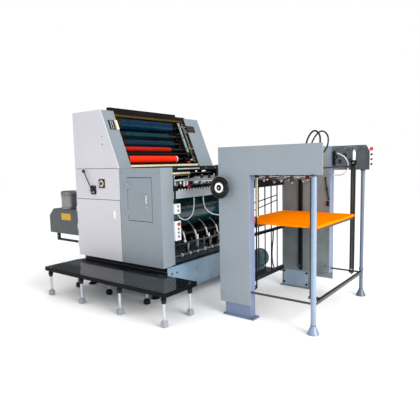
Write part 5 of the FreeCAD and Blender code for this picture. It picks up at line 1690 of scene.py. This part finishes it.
# Place in machine millimetres, turns in radians, focal length and sensor width in millimetres.
CAMERA_PLACE = (3877.3, -2791.4, 1300.3)
CAMERA_YAW, CAMERA_PITCH, CAMERA_ROLL = 0.6430, 0.1099, -0.0207
CAMERA_LENS, CAMERA_SENSOR = 36.43, 36.0


class PRESS_OT_stage(bpy.types.Operator):
    """Pale floor, soft lights and the camera"""
    bl_idname = "press.stage"
    bl_label = "Stage"
    bl_options = {"REGISTER", "UNDO"}

    def execute(self, context):
        scene = context.scene
        self.floor()
        self.sky(scene)
        for softbox in SOFTBOXES:
            self.softbox(*softbox)
        self.camera(scene)
        scene.view_settings.view_transform = "Standard"
        return {"FINISHED"}

    def floor(self):
        mesh = bpy.data.meshes.new("floor")
        bm = bmesh.new()
        bmesh.ops.create_grid(bm, x_segments=2, y_segments=2, size=30.0)
        bmesh.ops.translate(bm, vec=(0, 0, -0.0005), verts=bm.verts)
        bm.to_mesh(mesh)
        bm.free()
        mesh.materials.append(finish("floor"))
        place_object("floor", mesh)

    def sky(self, scene):
        """White surroundings that mirror as a dimmer grey, as between a studio's dark walls."""
        world = bpy.data.worlds.new("studio")
        world.use_nodes = True
        tree = world.node_tree
        mirrored = put(tree, "ShaderNodeLightPath").outputs["Is Glossy Ray"]
        strength = blend_value(tree, mirrored, SKY_LIGHT, SKY_MIRRORED)
        tree.links.new(strength, tree.nodes["Background"].inputs["Strength"])
        tree.nodes["Background"].inputs["Color"].default_value = (1, 1, 1, 1)
        scene.world = world

    def softbox(self, name, place, aim, width, power):
        light = bpy.data.lights.new(name, "AREA")
        light.shape = "SQUARE"
        light.size = width
        light.energy = power
        holder = place_object(name, light)
        holder.location = place
        holder.rotation_euler = (Vector(aim) - Vector(place)).to_track_quat("-Z", "Y").to_euler()

    def camera(self, scene):
        yaw, pitch, roll = CAMERA_YAW, CAMERA_PITCH, CAMERA_ROLL
        ahead = Vector((-math.sin(yaw) * math.cos(pitch), math.cos(yaw) * math.cos(pitch), -math.sin(pitch)))
        level = Vector((math.cos(yaw), math.sin(yaw), 0))
        upright = level.cross(ahead)
        right = math.cos(roll) * level + math.sin(roll) * upright
        up = math.cos(roll) * upright - math.sin(roll) * level
        lens = bpy.data.cameras.new("view")
        lens.sensor_width = CAMERA_SENSOR
        lens.lens = CAMERA_LENS
        lens.clip_end = 100
        camera = place_object("view", lens)
        turn = Matrix((right, up, -ahead)).transposed().to_4x4()
        camera.matrix_world = Matrix.Translation(TO_FRAME @ Vector(CAMERA_PLACE)) @ turn
        scene.camera = camera


# ---------------------------------------------------------------- panel and start

# Every piece, in the order in which they are written above.
PIECES = tuple(PieceMaker.__subclasses__())


class PRESS_PT_sidebar(bpy.types.Panel):
    """Sizes, colours and pieces of the press"""
    bl_idname = "PRESS_PT_sidebar"
    bl_label = "Offset press"
    bl_space_type = "VIEW_3D"
    bl_region_type = "UI"
    bl_category = "Press"

    def draw(self, context):
        for settings in (context.scene.press_sizes, context.scene.press_colours):
            column = self.layout.column(align=True)
            for name in settings.__annotations__:
                column.prop(settings, name)
        column = self.layout.column(align=True)
        for piece in (PRESS_OT_stage, *PIECES):
            column.operator(piece.bl_idname)


CLASSES = (PRESS_PG_colours, PRESS_PG_sizes, PRESS_OT_stage, *PIECES, PRESS_PT_sidebar)


def register():
    for each in CLASSES:
        bpy.utils.register_class(each)
    bpy.types.Scene.press_colours = bpy.props.PointerProperty(type=PRESS_PG_colours)
    bpy.types.Scene.press_sizes = bpy.props.PointerProperty(type=PRESS_PG_sizes)


def unregister():
    del bpy.types.Scene.press_sizes
    del bpy.types.Scene.press_colours
    for each in reversed(CLASSES):
        bpy.utils.unregister_class(each)


def main():
    register()
    bpy.ops.press.stage()
    for piece in PIECES:
        getattr(bpy.ops.press, piece.bl_idname.split(".")[1])()


if __name__ == "__main__":
    main()
